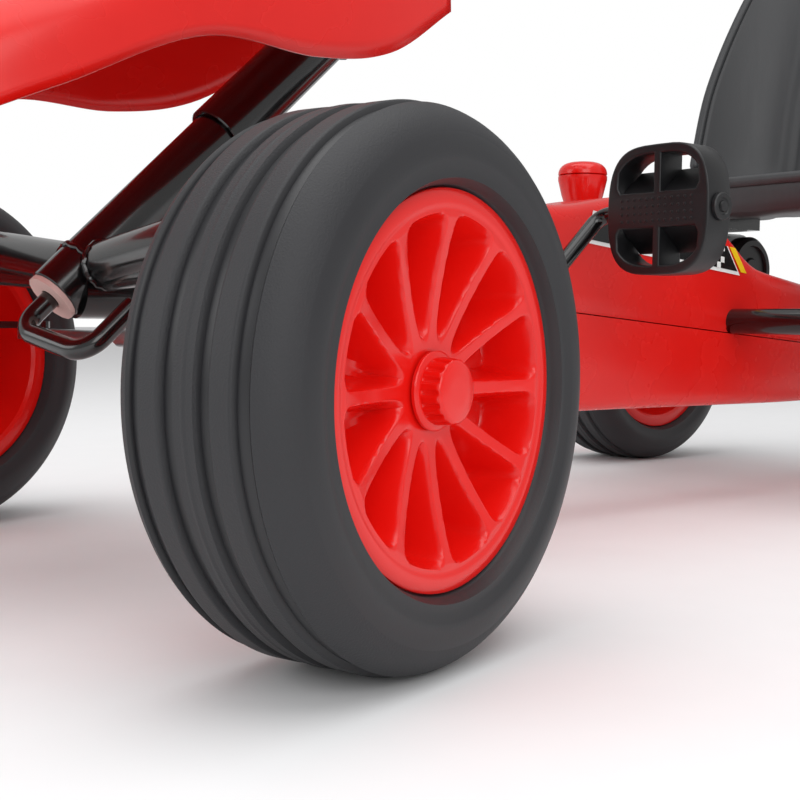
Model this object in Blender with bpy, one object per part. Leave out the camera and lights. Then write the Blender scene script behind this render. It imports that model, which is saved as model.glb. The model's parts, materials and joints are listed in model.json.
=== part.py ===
"""Pedal go kart for a child, as an assembly of separate parts.

Metres, +Z up, the kart's nose towards -Y and its left side towards +X. The origin lies on the ground, midway
between the nose and the back of the rear wheels. Stations along the kart are counted from the front axle.
The steered parts stand turned to the left by STEER_AT_REST.
"""

from math import atan2, cos, hypot, pi, radians, sin, sqrt

import bmesh
import bpy
from mathutils import Matrix, Vector

# Overall sizes
WHEELBASE = 0.8050
TRACK = 0.5155
TYRE_RADIUS = 0.127
TYRE_WIDTH = 0.095
NOSE_OVERHANG = 0.200  # from the front axle to the tip of the fairing
STEER_AT_REST = radians(16.0)
WHEEL_SIDES = 28

# Clearances
SEAT_GAP = 0.0003  # between pieces that rest on each other
RUNNING_GAP = 0.0005  # round a shaft in its bush

# Wheels
TYRE_SHOULDER = 0.024
RIM_RADIUS = 0.0893
RIM_INSET = 0.0077  # from the tyre's side to the rim's lip
TYRE_BEAD = 0.0800
RIM_WALL = 0.0040
RIM_DISH = 0.0230  # depth of the spokes' pockets behind the lip
HUB_RADIUS = 0.0210
HUB_CAP_RADIUS = 0.0155
HUB_CAP_LENGTH = 0.0220

# Front frame
BEAM_RADIUS = 0.0140
BEAM_HEIGHT = 0.1870
BEAM_RISE = 0.0200  # how much higher the beam's ends are than its middle
STRUT_RADIUS = 0.0070
STRUT_DROP = 0.0190
KINGPIN_X = 0.1850
KINGPIN_RADIUS = 0.0060
KING_TUBE_RADIUS = 0.0120
KING_TUBE_BOTTOM = 0.1640
KING_TUBE_TOP = 0.2320
MAIN_TUBE_RADIUS = 0.0180
MAIN_TUBE_HEIGHT = 0.1750
MAIN_TUBE_FRONT = -0.0100
MAIN_TUBE_JOINT = 0.1200

# Steering
POST_FOOT = (-0.0230, 0.1710)  # station and height of the post's lower end
POST_SLOPE = radians(43.0)
POST_RADIUS = 0.0170
POST_BORE = 0.0125
POST_LENGTH = 0.4300
SLEEVE_START = 0.1510
SLEEVE_WALL = 0.0030
SHAFT_RADIUS = 0.0060
SHAFT_STICKS_OUT = 0.0300
CRANK_THROW = 0.0640
CRANK_PIN = 0.0400
STEERING_WHEEL_RADIUS = 0.1250
STEERING_GRIP = 0.0130
STEERING_HUB = 0.0300
WHEEL_ABOVE_POST = 0.0700
STEER_ARM = 0.0500
TIE_ROD_RADIUS = 0.0040
TIE_ROD_HEIGHT = 0.1450
TIE_ROD_END = 0.0110
STUB_BLOCK = 0.0130

# Drive
CRANK_STATION = 0.2950
CRANK_HEIGHT = 0.1590
CRANK_LENGTH = 0.1040
CRANK_ANGLE = radians(47.5)
CRANK_BAR = 0.0060
CRANK_ARM_X = 0.0800
PEDAL_INNER_X = 0.0970
PEDAL_LENGTH = 0.0880
PEDAL_HEIGHT = 0.0900
PEDAL_DEPTH = 0.0250
BRACKET_SHELL_RADIUS = 0.0150
CHAIN_X = 0.0330
CHAIN_THICKNESS = 0.0060
CHAINRING_RADIUS = 0.0520
SPROCKET_RADIUS = 0.0260
SPROCKET_THICKNESS = 0.0030
REAR_AXLE_RADIUS = 0.0080
BEARING_RADIUS = 0.0160
BEARING_WIDTH = 0.0120

# Rear frame
CROSS_TUBE_STATION = 0.5730
CROSS_TUBE_RADIUS = 0.0110
RAIL_X = 0.1650
SEAT_RAIL_X = 0.1300
SEAT_RAIL_HEIGHT = 0.2450
SEAT_RAIL_RADIUS = 0.0090

# Chain case
CASE_LEFT = 0.0500
CASE_RIGHT = -0.0350
CASE_WALL = 0.0025
CASE_SEAM = (0.3800, 0.1640)
CASE_SEAM_SLOPE = -0.0800

# Seat, lever and knob
SEAT_WALL = 0.0080
SEAT_FRONT = 0.6500
LEVER_X = -0.0530
LEVER_STATION = 0.4900
LEVER_THICKNESS = 0.0060
KNOB_RADIUS = 0.0214
KNOB_BOTTOM = 0.2500
KNOB_SEAM = 0.2850
KNOB_TOP = 0.2970
CLAMP_STATION = 0.7570
CLAMP_HEIGHT = 0.2120
CLAMP_RADIUS = 0.0330
CLAMP_DEPTH = 0.0180
CLAMP_X = -0.0800
HANGER_THICKNESS = 0.0030
RUNNER_INNER_X = 0.0850

Y_SHIFT = -(WHEELBASE + TYRE_RADIUS - NOSE_OVERHANG) / 2
STEER_AXIS = Vector((0.0, cos(POST_SLOPE), sin(POST_SLOPE)))
HANGER_X = -SEAT_RAIL_X + SEAT_RAIL_RADIUS + SEAT_GAP + HANGER_THICKNESS
SIDES = (("left", 1.0), ("right", -1.0))

MATERIALS = {}


def at(x, station, height):
    """The point at this station along the kart."""
    return Vector((x, station + Y_SHIFT, height))


def on_post(along, across=0.0, side=0.0):
    """A point of the steering post: along its axis, across it towards the ground, and to the kart's left."""
    foot = at(side, *POST_FOOT)
    down = Vector((0.0, sin(POST_SLOPE), -cos(POST_SLOPE)))
    return foot + STEER_AXIS * along + down * across


def material(name, colour, roughness, metallic=0.0):
    """A Principled material, made once."""
    if name not in MATERIALS:
        made = bpy.data.materials.new(name)
        made.use_nodes = True
        shader = made.node_tree.nodes["Principled BSDF"]
        shader.inputs["Base Color"].default_value = (*colour, 1.0)
        shader.inputs["Roughness"].default_value = roughness
        shader.inputs["Metallic"].default_value = metallic
        MATERIALS[name] = made
    return MATERIALS[name]


def red():
    return material("red_plastic", (0.80, 0.025, 0.02), 0.28)


def black_plastic():
    return material("black_plastic", (0.03, 0.03, 0.032), 0.45)


def black_paint():
    return material("black_paint", (0.012, 0.011, 0.011), 0.2)


def foam():
    return material("tyre_foam", (0.04, 0.04, 0.043), 0.7)


def steel():
    return material("zinc_steel", (0.6, 0.6, 0.58), 0.35, 1.0)


def nylon():
    return material("white_nylon", (0.8, 0.76, 0.75), 0.5)


def finish(bm, name, surface, origin=None):
    """Turns the bmesh into an object whose origin is on its joint's axis."""
    bmesh.ops.remove_doubles(bm, verts=bm.verts, dist=1e-7)
    bmesh.ops.recalc_face_normals(bm, faces=bm.faces)
    start = Vector(origin) if origin is not None else Vector((0.0, 0.0, 0.0))
    bmesh.ops.translate(bm, verts=bm.verts, vec=-start)
    mesh = bpy.data.meshes.new(name)
    bm.to_mesh(mesh)
    bm.free()
    mesh.shade_smooth()
    mesh.set_sharp_from_angle(angle=radians(35.0))
    made = bpy.data.objects.new(name, mesh)
    made.location = start
    made.data.materials.append(surface)
    bpy.context.scene.collection.objects.link(made)
    return made


def helper(bm, name):
    """A solid that only shapes another one."""
    made = finish(bm, name, black_paint())
    made.hide_render = True
    made.display_type = "WIRE"
    return made


def combine(target, others, operation="UNION"):
    """Joins the helpers to the target, or cuts them from it. Crossing round tubes leave open edges with EXACT."""
    for other in others:
        cut = target.modifiers.new(other.name, "BOOLEAN")
        cut.operation = operation
        cut.solver = "MANIFOLD"
        cut.object = other
    return target


def box(low, high):
    """A block between two corners."""
    bm = bmesh.new()
    bmesh.ops.create_cube(bm, size=1.0)
    middle, size = (low + high) / 2, high - low
    bmesh.ops.scale(bm, verts=bm.verts, vec=size)
    bmesh.ops.translate(bm, verts=bm.verts, vec=middle)
    return bm


def turned(profile, centre, axis, segments, ring=False, phase=0.0):
    """A solid turned about an axis. The profile's points are (distance along the axis, radius)."""
    bm = bmesh.new()
    turn = Vector((0.0, 0.0, 1.0)).rotation_difference(Vector(axis)).to_matrix().to_4x4()
    place = Matrix.Translation(centre) @ turn
    rows = []
    for along, radius in profile:
        if radius < 1e-6:
            rows.append([bm.verts.new(place @ Vector((0.0, 0.0, along)))])
            continue
        row = []
        for step in range(segments):
            angle = 2 * pi * (step + phase) / segments
            row.append(bm.verts.new(place @ Vector((radius * cos(angle), radius * sin(angle), along))))
        rows.append(row)
    pairs = list(zip(rows, rows[1:]))
    if ring:
        pairs.append((rows[-1], rows[0]))
    for first, second in pairs:
        for step in range(segments):
            following = (step + 1) % segments
            corners = []
            for vert in (
                first[step % len(first)],
                first[following % len(first)],
                second[following % len(second)],
                second[step % len(second)],
            ):
                if vert not in corners:
                    corners.append(vert)
            bm.faces.new(corners)
    return bm


def cylinder(start, end, radius, segments=16):
    """A round bar between two points."""
    length = (end - start).length
    profile = [(0.0, 0.0), (0.0, radius), (length, radius), (length, 0.0)]
    return turned(profile, start, end - start, segments)


def pipe(start, end, radius, bore, segments=16):
    """A round tube between two points."""
    length = (end - start).length
    profile = [(0.0, bore), (0.0, radius), (length, radius), (length, bore)]
    return turned(profile, start, end - start, segments, ring=True)


def rounded_path(corners, bend, steps=4):
    """The corners' path with each inner corner rounded to this bend radius."""
    path = [Vector(corners[0])]
    for before, corner, after in zip(corners, corners[1:], corners[2:]):
        inward = (Vector(before) - Vector(corner)).normalized()
        outward = (Vector(after) - Vector(corner)).normalized()
        half = inward.angle(outward) / 2
        reach = bend / (sin(half) / cos(half))
        middle = Vector(corner) + (inward + outward).normalized() * (bend / sin(half))
        start = Vector(corner) + inward * reach - middle
        end = Vector(corner) + outward * reach - middle
        axis, sweep = start.cross(end), start.angle(end)
        for step in range(steps + 1):
            path.append(middle + Matrix.Rotation(sweep * step / steps, 3, axis) @ start)
    path.append(Vector(corners[-1]))
    return path


def bar(path, radius, sides=10):
    """A round bar along a path of points."""
    bm = bmesh.new()
    normal = (path[1] - path[0]).orthogonal().normalized()
    rows = []
    for index, point in enumerate(path):
        before = path[max(index - 1, 0)]
        after = path[min(index + 1, len(path) - 1)]
        along = (after - before).normalized()
        normal = (normal - along * normal.dot(along)).normalized()
        side = along.cross(normal)
        row = []
        for step in range(sides):
            angle = 2 * pi * step / sides
            row.append(bm.verts.new(point + (normal * cos(angle) + side * sin(angle)) * radius))
        rows.append(row)
    for first, second in zip(rows, rows[1:]):
        for step in range(sides):
            following = (step + 1) % sides
            bm.faces.new((first[step], first[following], second[following], second[step]))
    bm.faces.new(rows[0])
    bm.faces.new(rows[-1])
    return bm


def side_plate(outline, x_low, x_high):
    """A plate that stands fore and aft. The outline's points are (station, height)."""
    bm = bmesh.new()
    low = [bm.verts.new(at(x_low, *point)) for point in outline]
    high = [bm.verts.new(at(x_high, *point)) for point in outline]
    bm.faces.new(low)
    bm.faces.new(high)
    for index, vert in enumerate(low):
        following = (index + 1) % len(low)
        bm.faces.new((vert, low[following], high[following], high[index]))
    return bm


def moved(name, point, angle=0.0, axis="Z"):
    """An empty on a joint's axis, turned to its angle at rest."""
    empty = bpy.data.objects.new(name, None)
    empty.matrix_world = Matrix.Translation(point) @ Matrix.Rotation(angle, 4, axis)
    bpy.context.scene.collection.objects.link(empty)
    return empty


def carry(empty, point, pieces):
    """Parents pieces that were modelled straight ahead, so that the empty's turn takes them along."""
    shapers = [modifier.object for piece in pieces for modifier in piece.modifiers if modifier.type == "BOOLEAN"]
    for piece in pieces + shapers:
        piece.parent = empty
        piece.matrix_parent_inverse = Matrix.Translation(-point)


def front_frame():
    """The welded front: beam, struts, kingpin tubes, steering post and the main tube's first stretch."""
    end_height = BEAM_HEIGHT + BEAM_RISE
    frame = finish(
        cylinder(at(0, MAIN_TUBE_FRONT, MAIN_TUBE_HEIGHT), at(0, MAIN_TUBE_JOINT, MAIN_TUBE_HEIGHT), MAIN_TUBE_RADIUS),
        "front_frame",
        black_paint(),
    )
    parts = []
    for side, sign in SIDES:
        end = at(sign * KINGPIN_X, 0, end_height)
        parts.append(helper(cylinder(at(-sign * 0.004, 0, BEAM_HEIGHT), end, BEAM_RADIUS), f"beam_{side}"))
        tube = cylinder(
            at(sign * KINGPIN_X, 0, KING_TUBE_BOTTOM), at(sign * KINGPIN_X, 0, KING_TUBE_TOP), KING_TUBE_RADIUS
        )
        parts.append(helper(tube, f"king_tube_{side}"))
        strut = cylinder(
            at(sign * 0.010, 0, BEAM_HEIGHT - STRUT_DROP * 0.4),
            at(sign * KINGPIN_X, 0, end_height - STRUT_DROP),
            STRUT_RADIUS,
            12,
        )
        parts.append(helper(strut, f"strut_{side}"))
    parts.append(helper(cylinder(on_post(0.0), on_post(POST_LENGTH), POST_RADIUS), "post_tube"))
    combine(frame, parts)
    bores = [helper(cylinder(on_post(-0.02), on_post(POST_LENGTH + 0.02), POST_BORE), "post_bore")]
    for side, sign in SIDES:
        low = at(sign * KINGPIN_X, 0, KING_TUBE_BOTTOM - 0.01)
        high = at(sign * KINGPIN_X, 0, KING_TUBE_TOP + 0.01)
        bores.append(helper(cylinder(low, high, KINGPIN_RADIUS + RUNNING_GAP), f"king_bore_{side}"))
    combine(frame, bores, "DIFFERENCE")


def post_sleeve():
    """The sleeve over the upper part of the steering post."""
    inner = POST_RADIUS + SEAT_GAP
    finish(
        pipe(on_post(SLEEVE_START), on_post(POST_LENGTH), inner + SLEEVE_WALL, inner),
        "post_sleeve",
        black_paint(),
    )


def shaft_bush(name, along, outward):
    """A flanged bush at one end of the steering post."""
    bore = SHAFT_RADIUS + RUNNING_GAP
    plug = POST_BORE - SEAT_GAP
    flange = POST_RADIUS * 0.95
    profile = [(-0.016, bore), (-0.016, plug), (SEAT_GAP, plug), (SEAT_GAP, flange), (0.0035, flange), (0.0035, bore)]
    finish(turned(profile, on_post(along), STEER_AXIS * outward, 16, ring=True), name, nylon())


def steering(straight):
    """The steering shaft with its bent lower crank, the steering wheel and its pad."""
    wheel_at = POST_LENGTH + WHEEL_ABOVE_POST
    corners = [
        on_post(wheel_at - 0.004),
        on_post(-SHAFT_STICKS_OUT),
        on_post(-SHAFT_STICKS_OUT, side=CRANK_THROW),
        on_post(-SHAFT_STICKS_OUT + CRANK_PIN, side=CRANK_THROW),
    ]
    shaft = finish(bar(rounded_path(corners, 0.014), SHAFT_RADIUS), "steering_shaft", black_paint(), straight)
    rows = 8
    profile = []
    for step in range(rows):
        angle = 2 * pi * step / rows
        profile.append((STEERING_GRIP * sin(angle), STEERING_WHEEL_RADIUS - STEERING_GRIP * (1 - cos(angle))))
    rim = turned(profile, on_post(wheel_at + 0.012), STEER_AXIS, 28, ring=True)
    wheel = finish(rim, "steering_wheel", black_plastic(), straight)
    hub_bore = SHAFT_RADIUS + SEAT_GAP
    hub = pipe(on_post(wheel_at - 0.034), on_post(wheel_at - SEAT_GAP), STEERING_HUB, hub_bore)
    parts = [helper(hub, "steering_hub_boss")]
    for index, turn in enumerate((0.0, 120.0, 240.0)):
        angle = radians(turn)
        reach = STEERING_WHEEL_RADIUS - STEERING_GRIP
        across, side = -cos(angle) * reach, sin(angle) * reach
        outer = on_post(wheel_at + 0.010, across, side)
        inner = on_post(wheel_at - 0.018, across * 0.20, side * 0.20)
        parts.append(helper(cylinder(inner, outer, 0.010, 10), f"spoke_{index}"))
    combine(wheel, parts)
    pad_profile = [(0.0, 0.0), (0.0, 0.036), (0.010, 0.038), (0.018, 0.032), (0.021, 0.0)]
    bore = helper(cylinder(on_post(wheel_at - 0.05), on_post(wheel_at), hub_bore), "steering_hub_bore")
    seat = helper(cylinder(on_post(wheel_at - SEAT_GAP), on_post(wheel_at + 0.05), 0.0385), "pad_seat")
    combine(wheel, [bore, seat], "DIFFERENCE")
    pad = finish(turned(pad_profile, on_post(wheel_at), STEER_AXIS, 20), "steering_pad", black_plastic(), straight)
    return [shaft, wheel, pad]


def knuckle(side, sign):
    """The stub axle with its kingpin and steering arm, and the nut on the kingpin."""
    pivot = at(sign * KINGPIN_X, 0, 0)
    foot = at(sign * KINGPIN_X, 0, TYRE_RADIUS - STUB_BLOCK)
    neck = at(sign * KINGPIN_X, 0, KING_TUBE_BOTTOM - SEAT_GAP)
    body = finish(cylinder(foot, neck, STUB_BLOCK), f"knuckle_{side}", black_paint(), pivot)
    top = at(sign * KINGPIN_X, 0, KING_TUBE_TOP + 0.012)
    parts = [helper(cylinder(neck - Vector((0, 0, 0.005)), top, KINGPIN_RADIUS), f"kingpin_{side}")]
    tip = sign * (TRACK / 2 + TYRE_WIDTH / 2 - RIM_INSET - 0.012)
    axle_end = at(tip, 0, TYRE_RADIUS)
    parts.append(helper(cylinder(at(sign * KINGPIN_X, 0, TYRE_RADIUS), axle_end, KINGPIN_RADIUS), f"stub_{side}"))
    collar_end = at(sign * (TRACK / 2 - TYRE_WIDTH / 2 + 0.010), 0, TYRE_RADIUS)
    parts.append(helper(cylinder(at(sign * KINGPIN_X, 0, TYRE_RADIUS), collar_end, 0.0095), f"stub_collar_{side}"))
    low = TIE_ROD_HEIGHT + 0.0040 + SEAT_GAP
    arm = box(at(sign * KINGPIN_X - 0.008, 0, low), at(sign * KINGPIN_X + 0.008, STEER_ARM, low + 0.005))
    parts.append(helper(arm, f"steer_arm_{side}"))
    tip_at = at(sign * KINGPIN_X, STEER_ARM, low)
    parts.append(helper(cylinder(tip_at, tip_at + Vector((0, 0, 0.005)), 0.0125), f"arm_eye_{side}"))
    parts.append(helper(cylinder(tip_at, tip_at + Vector((0, 0, 0.010)), 0.0060, 6), f"arm_bolt_{side}"))
    combine(body, parts)
    nut_bore = KINGPIN_RADIUS + SEAT_GAP
    nut = pipe(at(sign * KINGPIN_X, 0, KING_TUBE_TOP + SEAT_GAP), top, 0.0105, nut_bore, 12)
    return [body, finish(nut, f"kingpin_nut_{side}", steel(), pivot)]


def tie_rod(side, sign):
    """The rod between the steering arms' eyes, on its side of the kart: a thin rod, a sleeve and an eye."""
    swing = Matrix.Rotation(STEER_AT_REST, 4, "Z") @ Vector((0, STEER_ARM, 0))
    eye = at(sign * KINGPIN_X, 0, TIE_ROD_HEIGHT) + swing
    inner = Vector((sign * SEAT_GAP / 2, eye.y, TIE_ROD_HEIGHT))
    rod = finish(cylinder(inner, eye, TIE_ROD_RADIUS, 12), f"tie_rod_{side}", black_paint(), inner)
    half = Vector((0, 0, 0.0040))
    parts = [helper(cylinder(eye - half, eye + half, TIE_ROD_END), f"rod_eye_{side}")]
    sleeve_end = inner + Vector((sign * 0.055, 0, 0))
    parts.append(helper(cylinder(inner, sleeve_end, TIE_ROD_RADIUS + 0.003, 12), f"rod_sleeve_{side}"))
    combine(rod, parts)


def wheel_parts(name, centre, sign, bore):
    """Tyre, rim and hub cap of one wheel, modelled about its axle, with a flat of the tread on the ground.

    Distances run from the wheel's middle outwards.
    """
    tread = TYRE_RADIUS / cos(pi / WHEEL_SIDES)
    half = TYRE_WIDTH / 2
    out = Vector((sign, 0.0, 0.0))
    shoulder = TYRE_SHOULDER
    lip = half - RIM_INSET
    flange, bead = lip - 0.0030, lip - 0.0075
    side = []
    for step in range(3):
        angle = radians(90 - 45 * step)
        along = half - shoulder + shoulder * cos(angle)
        side.append((along, tread - shoulder + shoulder * sin(angle)))
    side += [
        (half - 0.002, RIM_RADIUS + 0.006),
        (lip, RIM_RADIUS + SEAT_GAP),
        (flange - SEAT_GAP, RIM_RADIUS + SEAT_GAP),
        (bead - SEAT_GAP, TYRE_BEAD),
    ]
    profile = side + [(-along, radius) for along, radius in side[::-1]]
    tyre = finish(turned(profile, centre, out, WHEEL_SIDES, True, 0.5), f"tyre_{name}", foam(), centre)
    barrel = TYRE_BEAD - SEAT_GAP
    face = lip - RIM_DISH
    web = face - 0.006
    hub_inner = -lip + 0.004
    profile = [
        (bead, barrel),
        (flange, RIM_RADIUS),
        (lip, RIM_RADIUS),
        (lip, barrel - 0.003),
        (face, barrel - RIM_WALL - 0.004),
        (face, HUB_RADIUS + 0.004),
        (lip - 0.010, HUB_RADIUS),
        (lip - 0.010, bore),
        (hub_inner, bore),
        (hub_inner, HUB_RADIUS - 0.004),
        (web, HUB_RADIUS - 0.002),
        (web, barrel - RIM_WALL),
        (-lip, barrel - RIM_WALL + 0.001),
        (-lip, RIM_RADIUS),
        (-flange, RIM_RADIUS),
        (-bead, barrel),
    ]
    rim = finish(turned(profile, centre, out, WHEEL_SIDES, True, 0.5), f"rim_{name}", red(), centre)
    cap_start = lip - 0.010 + SEAT_GAP
    profile = [
        (cap_start, 0.0),
        (cap_start, HUB_CAP_RADIUS + 0.002),
        (cap_start + 0.003, HUB_CAP_RADIUS + 0.002),
        (cap_start + 0.003, HUB_CAP_RADIUS),
        (cap_start + HUB_CAP_LENGTH - 0.010, HUB_CAP_RADIUS - 0.001),
        (cap_start + HUB_CAP_LENGTH - 0.009, 0.0),
    ]
    cap = finish(turned(profile, centre, out, 20), f"hub_cap_{name}", red(), centre)
    return [tyre, rim, cap]


def front_corner(side, sign):
    """Knuckle and front wheel of one side, turned to the steering angle at rest."""
    pivot = at(sign * KINGPIN_X, 0, 0)
    empty = moved(f"kingpin_axis_{side}", pivot, STEER_AT_REST)
    centre = at(sign * TRACK / 2, 0, TYRE_RADIUS)
    pieces = knuckle(side, sign)
    pieces += wheel_parts(f"front_{side}", centre, sign, KINGPIN_RADIUS + RUNNING_GAP)
    carry(empty, pivot, pieces)


def rear_axle():
    """The live rear axle with both rear wheels, its sprocket and its bearings."""
    tip = TRACK / 2 + TYRE_WIDTH / 2 - RIM_INSET - 0.012
    middle = at(0, WHEELBASE, TYRE_RADIUS)
    finish(
        cylinder(at(-tip, WHEELBASE, TYRE_RADIUS), at(tip, WHEELBASE, TYRE_RADIUS), REAR_AXLE_RADIUS),
        "rear_axle",
        steel(),
        middle,
    )
    for side, sign in SIDES:
        centre = at(sign * TRACK / 2, WHEELBASE, TYRE_RADIUS)
        wheel_parts(f"rear_{side}", centre, sign, REAR_AXLE_RADIUS + SEAT_GAP)
        start = at(sign * (RAIL_X - BEARING_WIDTH / 2), WHEELBASE, TYRE_RADIUS)
        end = at(sign * (RAIL_X + BEARING_WIDTH / 2), WHEELBASE, TYRE_RADIUS)
        ring = pipe(start, end, BEARING_RADIUS - SEAT_GAP, REAR_AXLE_RADIUS + RUNNING_GAP)
        finish(ring, f"axle_bearing_{side}", steel())
    toothed_disc("rear_sprocket", WHEELBASE, TYRE_RADIUS, SPROCKET_RADIUS, REAR_AXLE_RADIUS)


def toothed_disc(name, station, height, radius, shaft):
    """A chain wheel as a plain disc with a boss on its shaft."""
    half = SPROCKET_THICKNESS / 2
    bore = shaft + SEAT_GAP
    profile = [(-half, bore), (-half, radius), (half, radius), (half, 0.013), (half + 0.008, 0.013), (half + 0.008, bore)]
    centre = at(CHAIN_X, station, height)
    finish(turned(profile, centre, (-1, 0, 0), 24, ring=True), name, steel(), centre)


def chain():
    """The closed chain round both chain wheels, as one band."""
    front = (CRANK_STATION, CRANK_HEIGHT, CHAINRING_RADIUS + RUNNING_GAP)
    rear = (WHEELBASE, TYRE_RADIUS, SPROCKET_RADIUS + RUNNING_GAP)
    span = hypot(rear[0] - front[0], rear[1] - front[1])
    lean = atan2(rear[1] - front[1], rear[0] - front[0])
    spread = pi / 2 - atan2(front[2] - rear[2], sqrt(span**2 - (front[2] - rear[2]) ** 2))
    loops = []
    for extra in (0.0, CHAIN_THICKNESS):
        loop = []
        for (station, height, radius), start, end in (
            (front, lean + spread, lean + 2 * pi - spread),
            (rear, lean - spread, lean + spread),
        ):
            steps = 12
            for step in range(steps + 1):
                angle = start + (end - start) * step / steps
                reach = radius + extra
                loop.append((station + reach * cos(angle), height + reach * sin(angle)))
        loops.append(loop)
    bm = bmesh.new()
    half = CHAIN_THICKNESS / 2
    rows = []
    for x, loop in ((-half, loops[0]), (half, loops[0]), (half, loops[1]), (-half, loops[1])):
        rows.append([bm.verts.new(at(CHAIN_X + x, *point)) for point in loop])
    count = len(rows[0])
    for first, second in zip(rows, rows[1:] + rows[:1]):
        for step in range(count):
            following = (step + 1) % count
            bm.faces.new((first[step], first[following], second[following], second[step]))
    finish(bm, "chain", steel())


def crank_point(sign):
    """Station and height of the pedal's axle on this side."""
    station = CRANK_STATION + sign * CRANK_LENGTH * cos(CRANK_ANGLE)
    height = CRANK_HEIGHT + sign * CRANK_LENGTH * sin(CRANK_ANGLE)
    return station, height


def crank():
    """The one-piece bent crank, its chain wheel and the bushes that it turns in."""
    end = PEDAL_INNER_X + PEDAL_LENGTH - 0.004
    left, right = crank_point(1), crank_point(-1)
    bend = CRANK_ARM_X - 0.014
    corners = [
        at(-end, *right),
        at(-CRANK_ARM_X, *right),
        at(-bend, CRANK_STATION, CRANK_HEIGHT),
        at(bend, CRANK_STATION, CRANK_HEIGHT),
        at(CRANK_ARM_X, *left),
        at(end, *left),
    ]
    centre = at(0, CRANK_STATION, CRANK_HEIGHT)
    finish(bar(rounded_path(corners, 0.012), CRANK_BAR), "crank", black_paint(), centre)
    toothed_disc("chainring", CRANK_STATION, CRANK_HEIGHT, CHAINRING_RADIUS, CRANK_BAR)
    for side, sign in SIDES:
        start = at(sign * 0.010, CRANK_STATION, CRANK_HEIGHT)
        finish_at = at(sign * 0.021, CRANK_STATION, CRANK_HEIGHT)
        ring = pipe(start, finish_at, BRACKET_SHELL_RADIUS - 0.003 - SEAT_GAP, CRANK_BAR + RUNNING_GAP)
        finish(ring, f"crank_bush_{side}", nylon())


def pedal(side, sign):
    """A moulded pedal with a band across its middle and an opening above and below it, and its end cap."""
    station, height = crank_point(sign)
    centre = at(sign * (PEDAL_INNER_X + PEDAL_LENGTH / 2), station, height)
    outline = []
    half_length, half_height = PEDAL_LENGTH / 2, PEDAL_HEIGHT / 2
    for step in range(28):
        angle = 2 * pi * step / 28
        across = abs(cos(angle)) ** 0.55 * half_length * (1 if cos(angle) > 0 else -1)
        up = abs(sin(angle)) ** 0.75 * half_height * (1 if sin(angle) > 0 else -1)
        outline.append((across, up))
    bm = bmesh.new()
    half = Vector((0, PEDAL_DEPTH / 2, 0))
    front = [bm.verts.new(centre - half + Vector((a, 0, b))) for a, b in outline]
    back = [bm.verts.new(centre + half + Vector((a, 0, b))) for a, b in outline]
    bm.faces.new(front)
    bm.faces.new(back)
    for index in range(len(outline)):
        following = (index + 1) % len(outline)
        bm.faces.new((front[index], front[following], back[following], back[index]))
    body = finish(bm, f"pedal_{side}", black_plastic(), centre)
    cuts = []
    for above in (1, -1):
        for along in (1, -1):
            low = centre + Vector((along * 0.003, -PEDAL_DEPTH, above * 0.0145))
            high = centre + Vector((along * 0.034, PEDAL_DEPTH, above * 0.0320))
            lowest = Vector(map(min, low, high))
            highest = Vector(map(max, low, high))
            cuts.append(helper(box(lowest, highest), f"pedal_window_{side}_{above}_{along}"))
    reach = Vector((PEDAL_LENGTH, 0, 0))
    cuts.append(helper(cylinder(centre - reach, centre + reach, CRANK_BAR + RUNNING_GAP, 16), f"pedal_bore_{side}"))
    combine(body, cuts, "DIFFERENCE")
    edge = at(sign * (PEDAL_INNER_X + PEDAL_LENGTH + SEAT_GAP), station, height)
    cap = cylinder(edge, edge + Vector((sign * 0.004, 0, 0)), 0.0095)
    finish(cap, f"pedal_cap_{side}", black_plastic(), centre)


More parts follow.
